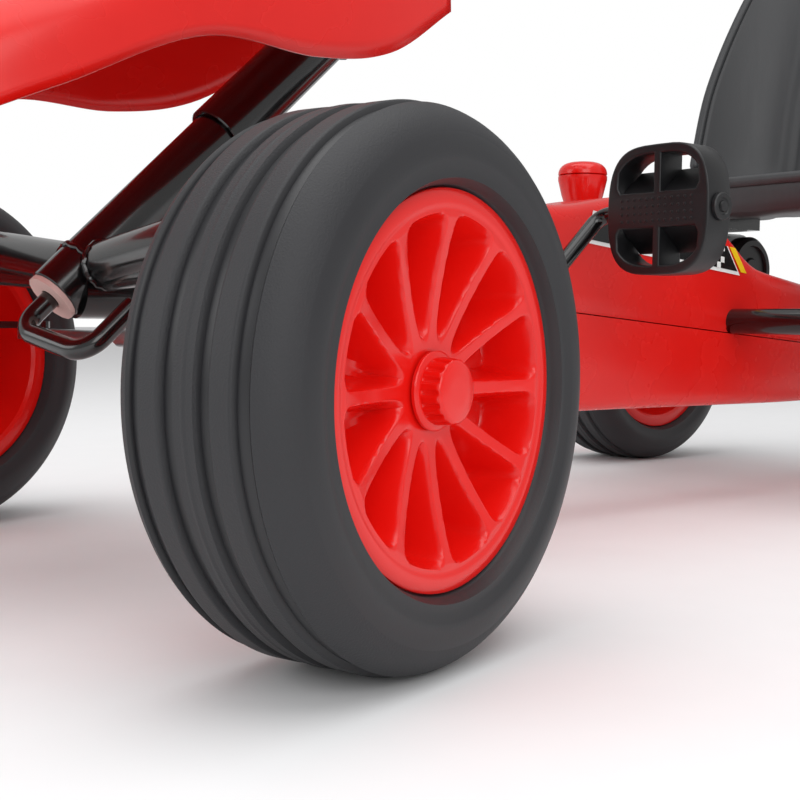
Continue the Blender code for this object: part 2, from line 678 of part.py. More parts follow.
def main_frame():
    """The welded rear: main tube, crank shell, cross tube with its side rails, seat rails and lever pin."""
    start = at(0, MAIN_TUBE_JOINT + SEAT_GAP, MAIN_TUBE_HEIGHT)
    end = at(0, CROSS_TUBE_STATION, MAIN_TUBE_HEIGHT)
    frame = finish(cylinder(start, end, MAIN_TUBE_RADIUS), "main_frame", black_paint())
    shell = cylinder(
        at(-0.022, CRANK_STATION, CRANK_HEIGHT), at(0.022, CRANK_STATION, CRANK_HEIGHT), BRACKET_SHELL_RADIUS
    )
    parts = [helper(shell, "bracket_shell")]
    plate_top = CRANK_HEIGHT + 0.004
    corners = [
        at(-RAIL_X, WHEELBASE + 0.020, plate_top),
        at(-RAIL_X, CROSS_TUBE_STATION, CRANK_HEIGHT),
        at(RAIL_X, CROSS_TUBE_STATION, CRANK_HEIGHT),
        at(RAIL_X, WHEELBASE + 0.020, plate_top),
    ]
    parts.append(helper(bar(rounded_path(corners, 0.040), CROSS_TUBE_RADIUS), "cross_tube"))
    for side, sign in SIDES:
        rail = [
            at(sign * SEAT_RAIL_X, CROSS_TUBE_STATION, CRANK_HEIGHT),
            at(sign * SEAT_RAIL_X, SEAT_FRONT + 0.005, SEAT_RAIL_HEIGHT),
            at(sign * SEAT_RAIL_X, SEAT_FRONT + 0.190, SEAT_RAIL_HEIGHT),
            at(sign * SEAT_RAIL_X, WHEELBASE + 0.030, SEAT_RAIL_HEIGHT - 0.050),
            at(sign * RAIL_X, WHEELBASE + 0.005, plate_top),
        ]
        parts.append(helper(bar(rounded_path(rail, 0.012, 3), SEAT_RAIL_RADIUS), f"seat_rail_{side}"))
        plate = side_plate(
            [
                (WHEELBASE - 0.024, plate_top),
                (WHEELBASE - 0.020, TYRE_RADIUS - 0.022),
                (WHEELBASE + 0.020, TYRE_RADIUS - 0.022),
                (WHEELBASE + 0.024, plate_top),
            ],
            sign * RAIL_X - 0.004,
            sign * RAIL_X + 0.004,
        )
        parts.append(helper(plate, f"bearing_plate_{side}"))
    lever_low = at(LEVER_X - LEVER_THICKNESS / 2 - 0.006, LEVER_STATION, MAIN_TUBE_HEIGHT)
    parts.append(helper(cylinder(lever_low, at(0, LEVER_STATION, MAIN_TUBE_HEIGHT), 0.0050), "lever_pin"))
    combine(frame, parts)
    reach = Vector((0.05, 0, 0))
    crank_at = at(0, CRANK_STATION, CRANK_HEIGHT)
    bores = [helper(cylinder(crank_at - reach, crank_at + reach, BRACKET_SHELL_RADIUS - 0.003), "bracket_bore")]
    for side, sign in SIDES:
        centre = at(sign * RAIL_X, WHEELBASE, TYRE_RADIUS)
        bores.append(helper(cylinder(centre - reach, centre + reach, BEARING_RADIUS), f"bearing_bore_{side}"))
    combine(frame, bores, "DIFFERENCE")


CASE_OUTLINE = [
    (0.192, 0.165),
    (0.200, 0.212),
    (0.232, 0.238),
    (0.310, 0.243),
    (0.375, 0.247),
    (0.430, 0.257),
    (0.490, 0.260),
    (0.540, 0.250),
    (0.567, 0.233),
    (0.597, 0.211),
    (0.620, 0.204),
    (0.680, 0.195),
    (0.755, 0.183),
    (0.816, 0.175),
    (0.848, 0.155),
    (0.856, 0.127),
    (0.846, 0.100),
    (0.816, 0.086),
    (0.658, 0.085),
    (0.450, 0.087),
    (0.250, 0.088),
    (0.208, 0.104),
    (0.194, 0.132),
]


def inset(outline, distance):
    """The outline moved inwards by a distance. It runs clockwise when seen from the kart's left."""
    moved_in = []
    count = len(outline)
    for index, point in enumerate(outline):
        before, after = outline[index - 1], outline[(index + 1) % count]
        normals = []
        for start, end in ((before, point), (point, after)):
            along = Vector((end[0] - start[0], end[1] - start[1])).normalized()
            normals.append(Vector((along.y, -along.x)))
        middle = (normals[0] + normals[1]).normalized()
        reach = distance / max(middle.dot(normals[0]), 0.5)
        moved_in.append((point[0] + middle.x * reach, point[1] + middle.y * reach))
    return moved_in


def seam_height(station):
    """Height of the case's parting line at a station."""
    return CASE_SEAM[1] + CASE_SEAM_SLOPE * (station - CASE_SEAM[0])


def case_half(name, above):
    """One shell of the chain case: the upper or the lower side of the parting line."""
    half = finish(side_plate(CASE_OUTLINE, CASE_RIGHT, CASE_LEFT), name, red())
    inner = inset(CASE_OUTLINE, CASE_WALL)
    hollow = helper(side_plate(inner, CASE_RIGHT + CASE_WALL, CASE_LEFT - CASE_WALL), f"{name}_hollow")
    far = -1.0 if above else 1.0
    gap = SEAT_GAP / 2 * (1 if above else -1)
    edge = [(0.10, seam_height(0.10) + gap), (0.95, seam_height(0.95) + gap)]
    other_side = side_plate([*edge, (0.95, far), (0.10, far)], -0.2, 0.2)
    reach = Vector((0.2, 0, 0))
    crank_at = at(0, CRANK_STATION, CRANK_HEIGHT)
    cross_at = at(0, CROSS_TUBE_STATION, CRANK_HEIGHT)
    axle_at = at(0, WHEELBASE, TYRE_RADIUS)
    holes = [
        (cylinder(crank_at - reach, crank_at + reach, CRANK_BAR + 0.002), "crank"),
        (cylinder(cross_at - reach, cross_at + reach, CROSS_TUBE_RADIUS + SEAT_GAP), "cross"),
        (cylinder(axle_at - reach, axle_at + reach, REAR_AXLE_RADIUS + 0.002), "axle"),
    ]
    tube_at = at(0, 0.10, MAIN_TUBE_HEIGHT)
    holes.append((cylinder(tube_at, tube_at + Vector((0, 0.2, 0)), MAIN_TUBE_RADIUS + SEAT_GAP), "tube"))
    pin_at = at(0, LEVER_STATION, MAIN_TUBE_HEIGHT)
    holes.append((cylinder(pin_at - reach, pin_at, 0.0050 + SEAT_GAP), "pin"))
    cutters = [hollow, helper(other_side, f"{name}_other_side")]
    cutters += [helper(bm, f"{name}_{label}") for bm, label in holes]
    combine(half, cutters, "DIFFERENCE")


def seat():
    """The bucket seat: one moulded shell from the front edge to the top of its back, and two runners."""
    line = [
        (SEAT_FRONT, 0.288),
        (SEAT_FRONT + 0.020, 0.288),
        (SEAT_FRONT + 0.090, 0.272),
        (SEAT_FRONT + 0.165, 0.272),
        (SEAT_FRONT + 0.200, 0.285),
        (SEAT_FRONT + 0.218, 0.320),
        (SEAT_FRONT + 0.230, 0.400),
        (SEAT_FRONT + 0.246, 0.490),
        (SEAT_FRONT + 0.262, 0.560),
        (SEAT_FRONT + 0.272, 0.600),
    ]
    half_widths = [0.150, 0.158, 0.165, 0.168, 0.170, 0.172, 0.168, 0.152, 0.128, 0.095]
    wings = [0.008, 0.018, 0.038, 0.052, 0.062, 0.068, 0.062, 0.045, 0.028, 0.012]
    across = [-1.0, -0.93, -0.80, -0.62, -0.30, 0.0, 0.30, 0.62, 0.80, 0.93, 1.0]
    bm = bmesh.new()
    rows = []
    for index, ((station, height), half, wing) in enumerate(zip(line, half_widths, wings)):
        before, after = line[max(index - 1, 0)], line[min(index + 1, len(line) - 1)]
        along = Vector((after[0] - before[0], after[1] - before[1])).normalized()
        row = []
        for share in across:
            lift = wing * max(0.0, (abs(share) - 0.62) / 0.38) ** 1.6
            row.append(bm.verts.new(at(share * half, station - along.y * lift, height + along.x * lift)))
        rows.append(row)
    for first, second in zip(rows, rows[1:]):
        for index in range(len(across) - 1):
            bm.faces.new((first[index], first[index + 1], second[index + 1], second[index]))
    shell = finish(bm, "seat", black_plastic(), at(0, SEAT_FRONT + 0.1, SEAT_RAIL_HEIGHT))
    thick = shell.modifiers.new("wall", "SOLIDIFY")
    thick.thickness = SEAT_WALL
    thick.offset = 0.0
    for side, sign in SIDES:
        near, far = sorted((sign * RUNNER_INNER_X, sign * (SEAT_RAIL_X + 0.009)))
        low = at(near, SEAT_FRONT + 0.070, SEAT_RAIL_HEIGHT + SEAT_RAIL_RADIUS + SEAT_GAP)
        high = at(far, SEAT_FRONT + 0.150, 0.272 - SEAT_WALL / 2 - SEAT_GAP)
        runner = finish(box(low, high), f"seat_runner_{side}", black_paint())
        if sign < 0:
            hanger = side_plate(
                [
                    (CLAMP_STATION - 0.016, low.z + 0.004),
                    (CLAMP_STATION - 0.012, CLAMP_HEIGHT - 0.012),
                    (CLAMP_STATION + 0.012, CLAMP_HEIGHT - 0.012),
                    (CLAMP_STATION + 0.016, low.z + 0.004),
                ],
                HANGER_X - HANGER_THICKNESS,
                HANGER_X,
            )
            lug = box(
                Vector((sign * SEAT_RAIL_X, low.y + 0.020, low.z)),
                Vector((HANGER_X, high.y - 0.020, high.z)),
            )
            combine(runner, [helper(lug, "hanger_lug"), helper(hanger, "hanger")])


def clamp_knob():
    """The round knob that clamps the seat on its rail."""
    stem_start = HANGER_X + SEAT_GAP
    depth = CLAMP_X - stem_start
    profile = [
        (0.0, 0.0),
        (0.0, 0.008),
        (depth, 0.008),
        (depth, CLAMP_RADIUS - 0.003),
        (depth + 0.003, CLAMP_RADIUS),
        (depth + CLAMP_DEPTH - 0.003, CLAMP_RADIUS),
        (depth + CLAMP_DEPTH, CLAMP_RADIUS - 0.003),
        (depth + CLAMP_DEPTH, 0.0),
    ]
    centre = at(stem_start, CLAMP_STATION, CLAMP_HEIGHT)
    finish(turned(profile, centre, (1, 0, 0), 20), "seat_clamp_knob", black_plastic(), centre)


def lever():
    """The hand lever beside the chain case, with its two-part red knob."""
    pivot = at(LEVER_X, LEVER_STATION, MAIN_TUBE_HEIGHT)
    half = Vector((LEVER_THICKNESS / 2, 0, 0))
    blade = finish(cylinder(pivot - half, pivot + half, 0.0110), "lever", black_paint(), pivot)
    arm = box(
        at(LEVER_X - LEVER_THICKNESS / 2, LEVER_STATION - 0.006, MAIN_TUBE_HEIGHT),
        at(LEVER_X + LEVER_THICKNESS / 2, LEVER_STATION + 0.006, KNOB_SEAM - 0.012),
    )
    combine(blade, [helper(arm, "lever_arm")])
    bore = cylinder(pivot - half * 3, pivot + half * 3, 0.0050 + RUNNING_GAP)
    combine(blade, [helper(bore, "lever_bore")], "DIFFERENCE")
    foot = at(LEVER_X, LEVER_STATION, 0)
    profile = [
        (KNOB_BOTTOM, 0.0),
        (KNOB_BOTTOM, KNOB_RADIUS * 0.62),
        (KNOB_BOTTOM + 0.018, KNOB_RADIUS * 0.80),
        (KNOB_SEAM - SEAT_GAP, KNOB_RADIUS),
        (KNOB_SEAM - SEAT_GAP, 0.0),
    ]
    grip = finish(turned(profile, foot, (0, 0, 1), 18), "lever_knob", red(), pivot)
    slot = box(
        at(LEVER_X - LEVER_THICKNESS / 2 - SEAT_GAP, LEVER_STATION - 0.006 - SEAT_GAP, KNOB_BOTTOM - 0.01),
        at(LEVER_X + LEVER_THICKNESS / 2 + SEAT_GAP, LEVER_STATION + 0.006 + SEAT_GAP, KNOB_SEAM - 0.011),
    )
    combine(grip, [helper(slot, "knob_slot")], "DIFFERENCE")
    profile = [
        (KNOB_SEAM, 0.0),
        (KNOB_SEAM, KNOB_RADIUS),
        (KNOB_TOP - 0.005, KNOB_RADIUS * 0.86),
        (KNOB_TOP - 0.001, KNOB_RADIUS * 0.5),
        (KNOB_TOP, 0.0),
    ]
    finish(turned(profile, foot, (0, 0, 1), 18), "lever_knob_cap", red(), pivot)


FAIRING_WALL = 0.0030
FAIRING_SECTIONS = [  # station, height of the crown, height of the lower edge, half width
    (-NOSE_OVERHANG, 0.262, 0.240, 0.080),
    (-0.140, 0.300, 0.244, 0.112),
    (-0.075, 0.336, 0.270, 0.126),
    (0.002, 0.372, 0.304, 0.130),
    (0.077, 0.402, 0.304, 0.126),
    (0.137, 0.424, 0.316, 0.116),
    (0.197, 0.436, 0.352, 0.100),
]


def crown_height(station):
    """Height of the fairing's crown at a station."""
    for near, far in zip(FAIRING_SECTIONS, FAIRING_SECTIONS[1:]):
        if station <= far[0]:
            share = (station - near[0]) / (far[0] - near[0])
            return near[1] + (far[1] - near[1]) * share
    return FAIRING_SECTIONS[-1][1]


def fairing():
    """The red front fairing over the steering post, open below."""
    half_section = [(0.0, 0.0), (0.40, 0.02), (0.80, 0.12), (0.97, 0.45), (1.0, 1.0)]
    section = [(-share, drop) for share, drop in half_section[:0:-1]] + half_section
    bm = bmesh.new()
    rows = []
    for station, crown, low, half in FAIRING_SECTIONS:
        rows.append([bm.verts.new(at(a * half, station, crown - (crown - low) * b)) for a, b in section])
    for first, second in zip(rows, rows[1:]):
        for index in range(len(first) - 1):
            bm.faces.new((first[index], first[index + 1], second[index + 1], second[index]))
    bm.faces.new(rows[0])
    shell = finish(bm, "front_fairing", red())
    thick = shell.modifiers.new("wall", "SOLIDIFY")
    thick.thickness = FAIRING_WALL
    thick.offset = 0.0


def fairing_bracket():
    """A strap round the post's sleeve, with a stalk up to the underside of the fairing."""
    inner = POST_RADIUS + SLEEVE_WALL + SEAT_GAP * 2
    strap_wall, stalk = 0.0040, 0.0060
    clamp_at = SLEEVE_START + 0.130
    strap = finish(
        pipe(on_post(clamp_at - 0.012), on_post(clamp_at + 0.012), inner + strap_wall, inner),
        "fairing_bracket",
        black_paint(),
    )
    foot = on_post(clamp_at, -(inner + strap_wall))
    lean = 0.012
    station = foot.y - Y_SHIFT - lean
    head = at(0, station, crown_height(station - stalk) - FAIRING_WALL / 2 - SEAT_GAP)
    combine(strap, [helper(cylinder(foot, head, stalk, 12), "bracket_stalk")])


def build():
    for old in list(bpy.data.objects):
        bpy.data.objects.remove(old, do_unlink=True)
    front_frame()
    post_sleeve()
    shaft_bush("shaft_bush_lower", 0.0, -1)
    shaft_bush("shaft_bush_upper", POST_LENGTH, 1)
    foot = on_post(0.0)
    straight = Matrix.Translation(foot) @ Matrix.Rotation(STEER_AT_REST, 4, STEER_AXIS)
    column = moved("steering_axis", foot)
    column.matrix_world = straight
    carry(column, foot, steering(foot))
    for side, sign in SIDES:
        tie_rod(side, sign)
        front_corner(side, sign)
        pedal(side, sign)
    main_frame()
    rear_axle()
    crank()
    chain()
    case_half("case_upper", True)
    case_half("case_lower", False)
    seat()
    clamp_knob()
    lever()
    fairing()
    fairing_bracket()


build()
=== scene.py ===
"""The pedal go kart's looks: every surface, shell and moulding over the fixed working model.

Metres, +Z up, the nose towards -Y and the kart's left side towards +X. Stations run back from the front axle.
"""

import json
import logging
from collections.abc import Iterable, Sequence
from dataclasses import dataclass, field
from enum import Enum
from math import atan2, cos, pi, radians, sin, tan

import bmesh
import bpy
import numpy as np
from mathutils import Matrix, Vector


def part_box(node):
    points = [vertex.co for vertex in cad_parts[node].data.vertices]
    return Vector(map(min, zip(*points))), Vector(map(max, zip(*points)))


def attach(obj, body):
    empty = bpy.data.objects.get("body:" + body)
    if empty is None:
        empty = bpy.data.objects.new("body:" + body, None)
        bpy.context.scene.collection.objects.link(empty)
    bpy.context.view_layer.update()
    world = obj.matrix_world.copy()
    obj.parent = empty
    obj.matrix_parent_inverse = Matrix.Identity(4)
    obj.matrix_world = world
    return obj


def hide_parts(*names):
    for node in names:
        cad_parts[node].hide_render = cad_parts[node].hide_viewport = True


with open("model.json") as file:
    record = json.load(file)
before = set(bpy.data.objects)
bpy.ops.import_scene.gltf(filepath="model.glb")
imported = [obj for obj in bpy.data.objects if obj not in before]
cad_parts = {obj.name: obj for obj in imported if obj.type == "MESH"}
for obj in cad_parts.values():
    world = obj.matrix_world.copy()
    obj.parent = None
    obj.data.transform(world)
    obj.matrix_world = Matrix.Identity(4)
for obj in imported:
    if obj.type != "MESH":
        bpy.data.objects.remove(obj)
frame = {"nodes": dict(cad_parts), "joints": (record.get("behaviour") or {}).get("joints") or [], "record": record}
LOG = logging.getLogger("pedal_kart")
MILLIMETRE = 0.001
AXIS_GAP = 1e-5
MERGE_DISTANCE = 1e-6

Point = tuple[float, float]
Path = Sequence[Vector]


class Body(str, Enum):
    """The moving bodies of the working model."""

    FRAME = "frame"
    STEERING = "steering"
    FRONT_LEFT = "front_wheel_left"
    FRONT_RIGHT = "front_wheel_right"
    REAR_AXLE = "rear_axle"
    CRANK = "crank"
    PEDAL_LEFT = "pedal_left"
    PEDAL_RIGHT = "pedal_right"
    SEAT = "seat"
    CLAMP = "seat_clamp"
    LEVER = "lever"


class Slot(str, Enum):
    """The record's material slots."""

    FOAM = "foam"
    RED = "red_plastic"
    PAINT = "black_paint"
    BLACK = "black_plastic"
    STEEL = "steel"
    NYLON = "nylon"


def joint(name: str) -> dict:
    """The joint of this name in the working model.

    Args:
        name: the joint's name.

    Returns:
        Its entry, with pos_m and axis.
    """
    return next(entry for entry in frame["joints"] if entry["name"] == name)


FRONT_LEFT_HUB = Vector(joint("front_wheel_left_spin")["pos_m"])
FRONT_RIGHT_HUB = Vector(joint("front_wheel_right_spin")["pos_m"])
REAR_HUB = Vector(joint("rear_axle_spin")["pos_m"])
CRANK_CENTRE = Vector(joint("crank_spin")["pos_m"])
KINGPIN_LEFT = Vector(joint("knuckle_left_turn")["pos_m"])
POST_FOOT = Vector(joint("steering_turn")["pos_m"])
POST_AXIS = Vector(joint("steering_turn")["axis"]).normalized()
STEER_AT_REST = atan2(*reversed(joint("front_wheel_left_spin")["axis"][:2]))
AXLE_Y = KINGPIN_LEFT.y


def at(x: float, station: float, height: float) -> Vector:
    """The point at a station behind the front axle."""
    return Vector((x, station + AXLE_Y, height))


def on_post(along: float, across: float = 0.0, side: float = 0.0) -> Vector:
    """A point beside the steering post.

    Args:
        along: distance up the post from its foot.
        across: distance from its axis, towards the ground.
        side: distance from its axis, to the kart's left.

    Returns:
        The point.
    """
    down = Vector((0.0, POST_AXIS.z, -POST_AXIS.y))
    return POST_FOOT + POST_AXIS * along + down * across + Vector((side, 0.0, 0.0))


# ---------------------------------------------------------------- colour and nodes


def linear(code: str, alpha: float = 1.0) -> tuple[float, float, float, float]:
    """Turns an sRGB hex colour into the linear colour that shaders take.

    Args:
        code: the colour as RRGGBB.
        alpha: its opacity.

    Returns:
        Linear red, green, blue and alpha.
    """
    channels = (int(code[start : start + 2], 16) / 255 for start in (0, 2, 4))
    red, green, blue = (c / 12.92 if c <= 0.04045 else ((c + 0.055) / 1.055) ** 2.4 for c in channels)
    return red, green, blue, alpha


def add_node(tree: bpy.types.NodeTree, kind: str, settings: dict | None = None,
             links: dict | None = None) -> bpy.types.Node:
    """Adds a shader node.

    Args:
        tree: the node tree it goes in.
        kind: the node's type, such as ShaderNodeMath.
        settings: values by property name, or by input name or number.
        links: output sockets by the input name or number that they feed.

    Returns:
        The node.
    """
    node = tree.nodes.new(kind)
    for key, value in (settings or {}).items():
        if isinstance(key, str) and hasattr(node, key):
            setattr(node, key, value)
        else:
            node.inputs[key].default_value = value
    for key, socket in (links or {}).items():
        tree.links.new(socket, node.inputs[key])
    return node


@dataclass(frozen=True)
class Finish:
    """One surface finish: a tinted base with a fine grain and slight unevenness.

    Grain and mottle sizes are in millimetres, depth too.
    """

    name: str
    light: str
    dark: str
    roughness: float
    rough_spread: float = 0.05
    metallic: float = 0.0
    coat: float = 0.0
    coat_roughness: float = 0.05
    mottle_mm: float = 40.0
    grain_mm: float = 2.0
    grain_depth_mm: float = 0.02
    stretch: tuple[float, float, float] = (1.0, 1.0, 1.0)
    specular: float = 0.5

    def build(self) -> bpy.types.Material:
        """Makes the material, or returns the one already made."""
        made = bpy.data.materials.get(self.name)
        if made:
            return made
        made = bpy.data.materials.new(self.name)
        made.use_nodes = True
        tree = made.node_tree
        tree.nodes.clear()
        place = add_node(tree, "ShaderNodeTexCoord").outputs["Object"]
        spread = add_node(tree, "ShaderNodeMapping", {"Scale": self.stretch}, {"Vector": place}).outputs[0]
        noises = ((self.mottle_mm, 3.0), (self.grain_mm, 2.0))
        scales = ({"Scale": 1 / (size * MILLIMETRE), "Detail": detail} for size, detail in noises)
        mottle, grain = (add_node(tree, "ShaderNodeTexNoise", scale, {"Vector": spread}) for scale in scales)
        tint = add_node(
            tree,
            "ShaderNodeMix",
            {"data_type": "RGBA", 6: linear(self.dark), 7: linear(self.light)},
            {0: mottle.outputs[0]},
        )
        low, high = self.roughness - self.rough_spread, self.roughness + self.rough_spread
        rough = add_node(tree, "ShaderNodeMapRange", {3: low, 4: high}, {0: mottle.outputs[0]})
        relief = {"Strength": 1.0, "Distance": self.grain_depth_mm * MILLIMETRE}
        bump = add_node(tree, "ShaderNodeBump", relief, {"Height": grain.outputs[0]})
        shader = add_node(
            tree,
            "ShaderNodeBsdfPrincipled",
            {
                "Metallic": self.metallic,
                "Coat Weight": self.coat,
                "Coat Roughness": self.coat_roughness,
                "Specular IOR Level": self.specular,
            },
            {"Base Color": tint.outputs[2], "Roughness": rough.outputs[0], "Normal": bump.outputs[0]},
        )
        add_node(tree, "ShaderNodeOutputMaterial", None, {"Surface": shader.outputs[0]})
        return made


# Polypropylene, injection moulded in polished steel: a glossy skin with a faint ripple.
RED_POLYPROPYLENE = Finish(
    "red_polypropylene_polished", "EE1A12", "E6120D", 0.20, 0.03, grain_mm=9.0, grain_depth_mm=0.03
)
# Blow-moulded polyethylene: a softer shine and a longer ripple than the wheels.
RED_POLYETHYLENE = Finish(
    "red_polyethylene_blown", "E81A12", "DF120C", 0.27, 0.04, grain_mm=16.0, grain_depth_mm=0.05
)
# EVA foam with a moulded skin: matte, with fine closed pores.
EVA_TREAD = Finish("eva_foam_textured_rib", "2C2C2F", "242427", 0.58, 0.05, grain_mm=0.9, grain_depth_mm=0.22)
EVA_SMOOTH = Finish("eva_foam_smooth_skin", "252528", "1F1F22", 0.40, 0.04, grain_mm=3.0, grain_depth_mm=0.03)
EVA_SIDE = Finish("eva_foam_sidewall", "29292C", "222225", 0.47, 0.04, grain_mm=1.4, grain_depth_mm=0.05)
# Steel tube with stoved powder coat: deep black, glossy, with orange peel.
POWDER_COAT = Finish(
    "black_powder_coat", "0D0D0E", "080809", 0.22, 0.04, coat=0.6, coat_roughness=0.08, grain_mm=5.0,
    grain_depth_mm=0.03,
)
# Polypropylene with a spark-eroded texture: satin black.
BLACK_POLYPROPYLENE = Finish(
    "black_polypropylene_textured", "1B1B1D", "151517", 0.38, 0.05, grain_mm=1.2, grain_depth_mm=0.04
)
# Blow-moulded seat shell: dark grey satin, with faint flow streaks down the mould.
SEAT_POLYETHYLENE = Finish(
    "grey_polyethylene_seat", "3C3D3F", "313234", 0.42, 0.08, mottle_mm=30.0, grain_mm=2.0, grain_depth_mm=0.05,
    stretch=(5.0, 0.6, 0.6),
)
# Zinc-plated steel, drawn: grey, with fine lines.
ZINC_PLATE = Finish(
    "zinc_plated_steel", "C2C3C4", "9FA1A3", 0.34, 0.06, metallic=1.0, grain_mm=1.0, grain_depth_mm=0.02,
    stretch=(1.0, 6.0, 6.0),
)
# Nylon, moulded and left natural: milky with a pink cast.
NATURAL_NYLON = Finish("natural_nylon", "DDBDB6", "CFA9A2", 0.45, 0.05, grain_mm=2.0, grain_depth_mm=0.02)
# Vinyl film, screen printed and laminated.
LABEL_BLACK = Finish("label_vinyl_black", "111112", "0C0C0D", 0.25, 0.03, grain_mm=6.0, grain_depth_mm=0.01)
LABEL_WHITE = Finish("label_vinyl_white", "F4F4F2", "EDEDEB", 0.28, 0.03, grain_mm=6.0, grain_depth_mm=0.01)
LABEL_YELLOW = Finish("label_vinyl_yellow", "FFD21A", "F5C60F", 0.28, 0.03, grain_mm=6.0, grain_depth_mm=0.01)


# ---------------------------------------------------------------- mesh helpers


def to_object(bm: bmesh.types.BMesh, name: str, finishes: Sequence[Finish], angle: float = 40.0) -> bpy.types.Object:
    """Turns a bmesh into a smooth-shaded object with sharp edges above an angle.

    Args:
        bm: the mesh; it is freed.
        name: the object's name.
        finishes: its finishes, in the order of the faces' material numbers.
        angle: the sharp-edge angle in degrees.

    Returns:
        The object, linked to the scene.
    """
    bmesh.ops.remove_doubles(bm, verts=bm.verts, dist=MERGE_DISTANCE)
    bmesh.ops.recalc_face_normals(bm, faces=bm.faces)
    mesh = bpy.data.meshes.new(name)
    bm.to_mesh(mesh)
    bm.free()
    mesh.polygons.foreach_set("use_smooth", [True] * len(mesh.polygons))
    mesh.set_sharp_from_angle(angle=radians(angle))
    for finish in finishes:
        mesh.materials.append(finish.build())
    made = bpy.data.objects.new(name, mesh)
    bpy.context.scene.collection.objects.link(made)
    return made


def settle(piece: bpy.types.Object, body: Body, slot: Slot, *nodes: str) -> bpy.types.Object:
    """Rides a piece on its body and hides the working solids it stands for.

    Args:
        piece: the piece, in place.
        body: the body it moves with.
        slot: the record's slot for its finish; not used.
        *nodes: the working solids that it replaces.

    Returns:
        The piece.
    """
    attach(piece, body.value)
    if nodes:
        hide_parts(*nodes)
    LOG.info("%s rides on %s", piece.name, body.value)
    return piece
def add_piece(bm: bmesh.types.BMesh, name: str, finish: Finish, body: Body, slot: Slot, *nodes: str,
              angle: float = 40.0) -> None:
    """Turns a bmesh of one finish into a piece and settles it.

    Args:
        bm: the mesh, in place.
        name: the piece's name.
        finish: its finish.
        body: the body it moves with.
        slot: the record's slot for its finish.
        *nodes: the working solids that it replaces.
        angle: the sharp-edge angle in degrees.
    """
    settle(to_object(bm, name, [finish], angle), body, slot, *nodes)


def thicken(sheet: bpy.types.Object, wall: float, offset: float = 0.0) -> None:
    """Gives a sheet a wall, centred on it unless an offset says otherwise."""
    made = sheet.modifiers.new("wall", "SOLIDIFY")
    made.thickness, made.offset = wall, offset


def vertices(bm: bmesh.types.BMesh, points: Iterable[Vector]) -> list[bmesh.types.BMVert]:
    """Adds a vertex at each point."""
    return [bm.verts.new(point) for point in points]


def bridge(bm: bmesh.types.BMesh, rows: list[list], closed: bool = False, around: bool = True,
           material: list[int] | None = None) -> None:
    """Joins rows of vertices with quads.

    Args:
        bm: the mesh.
        rows: rows of equally many vertices.
        closed: whether the last row joins the first.
        around: whether each row is a ring.
        material: a material number for each strip of quads.
    """
    pairs = list(zip(rows, rows[1:])) + ([(rows[-1], rows[0])] if closed else [])
    count = len(rows[0])
    for strip, (first, second) in enumerate(pairs):
        for step in range(count if around else count - 1):
            following = (step + 1) % count
            face = bm.faces.new((first[step], first[following], second[following], second[step]))
            face.material_index = material[strip] if material else 0


def skin(bm: bmesh.types.BMesh, rows: list[list]) -> None:
    """Joins rings of vertices with quads and closes both ends.

    Args:
        bm: the mesh.
        rows: the rings, of equally many vertices.
    """
    bridge(bm, rows)
    bm.faces.new(rows[0])
    bm.faces.new(rows[-1])


def ring(place: Matrix, along: float, radius: float, turns: Iterable[float]) -> list[Vector]:
    """Points round the local X axis of a place, at a distance along it and a radius."""
    return [place @ Vector((along, radius * sin(turn), -radius * cos(turn))) for turn in turns]


def circle(sides: int, share: float = 0.0) -> list[float]:
    """Angles of equal steps round a circle, moved on by a share of a step."""
    return [2 * pi * (step + share) / sides for step in range(sides)]


def lathe(bm: bmesh.types.BMesh, profile: Sequence[Point], place: Matrix, sides: int, closed: bool = True,
          material: list[int] | None = None) -> None:
    """Turns a profile about the local X axis.

    Args:
        bm: the mesh it is added to.
        profile: points as (distance along the axis, radius).
        place: where the turned solid goes.
        sides: steps round the axis.
        closed: whether the profile is a closed ring.
        material: a material number for each stretch of the profile.
    """
    turns = circle(sides, 0.5)
    rows = [vertices(bm, ring(place, along, max(radius, AXIS_GAP), turns)) for along, radius in profile]
    if closed:
        bridge(bm, rows, True, material=material)
    else:
        skin(bm, rows)


def facing(origin: Vector, axis: Vector) -> Matrix:
    """A place at the origin whose local X runs along the axis."""
    return Matrix.Translation(origin) @ Vector((1.0, 0.0, 0.0)).rotation_difference(axis).to_matrix().to_4x4()


def rounded_path(corners: Path, bend: float, steps: int = 8) -> list[Vector]:
    """Rounds the inner corners of a path.

    Args:
        corners: the path's corners.
        bend: the bend radius.
        steps: points for each bend.

    Returns:
        The path's points.
    """
    path = [Vector(corners[0])]
    for before, corner, after in zip(corners, corners[1:], corners[2:]):
        inward, outward = (before - corner).normalized(), (after - corner).normalized()
        half = inward.angle(outward) / 2
        middle = corner + (inward + outward).normalized() * (bend / sin(half))
        start = corner + inward * bend / tan(half) - middle
        end = corner + outward * bend / tan(half) - middle
        turn = start.cross(end)
        for step in range(steps + 1):
            path.append(middle + Matrix.Rotation(start.angle(end) * step / steps, 3, turn) @ start)
    path.append(Vector(corners[-1]))
    return path


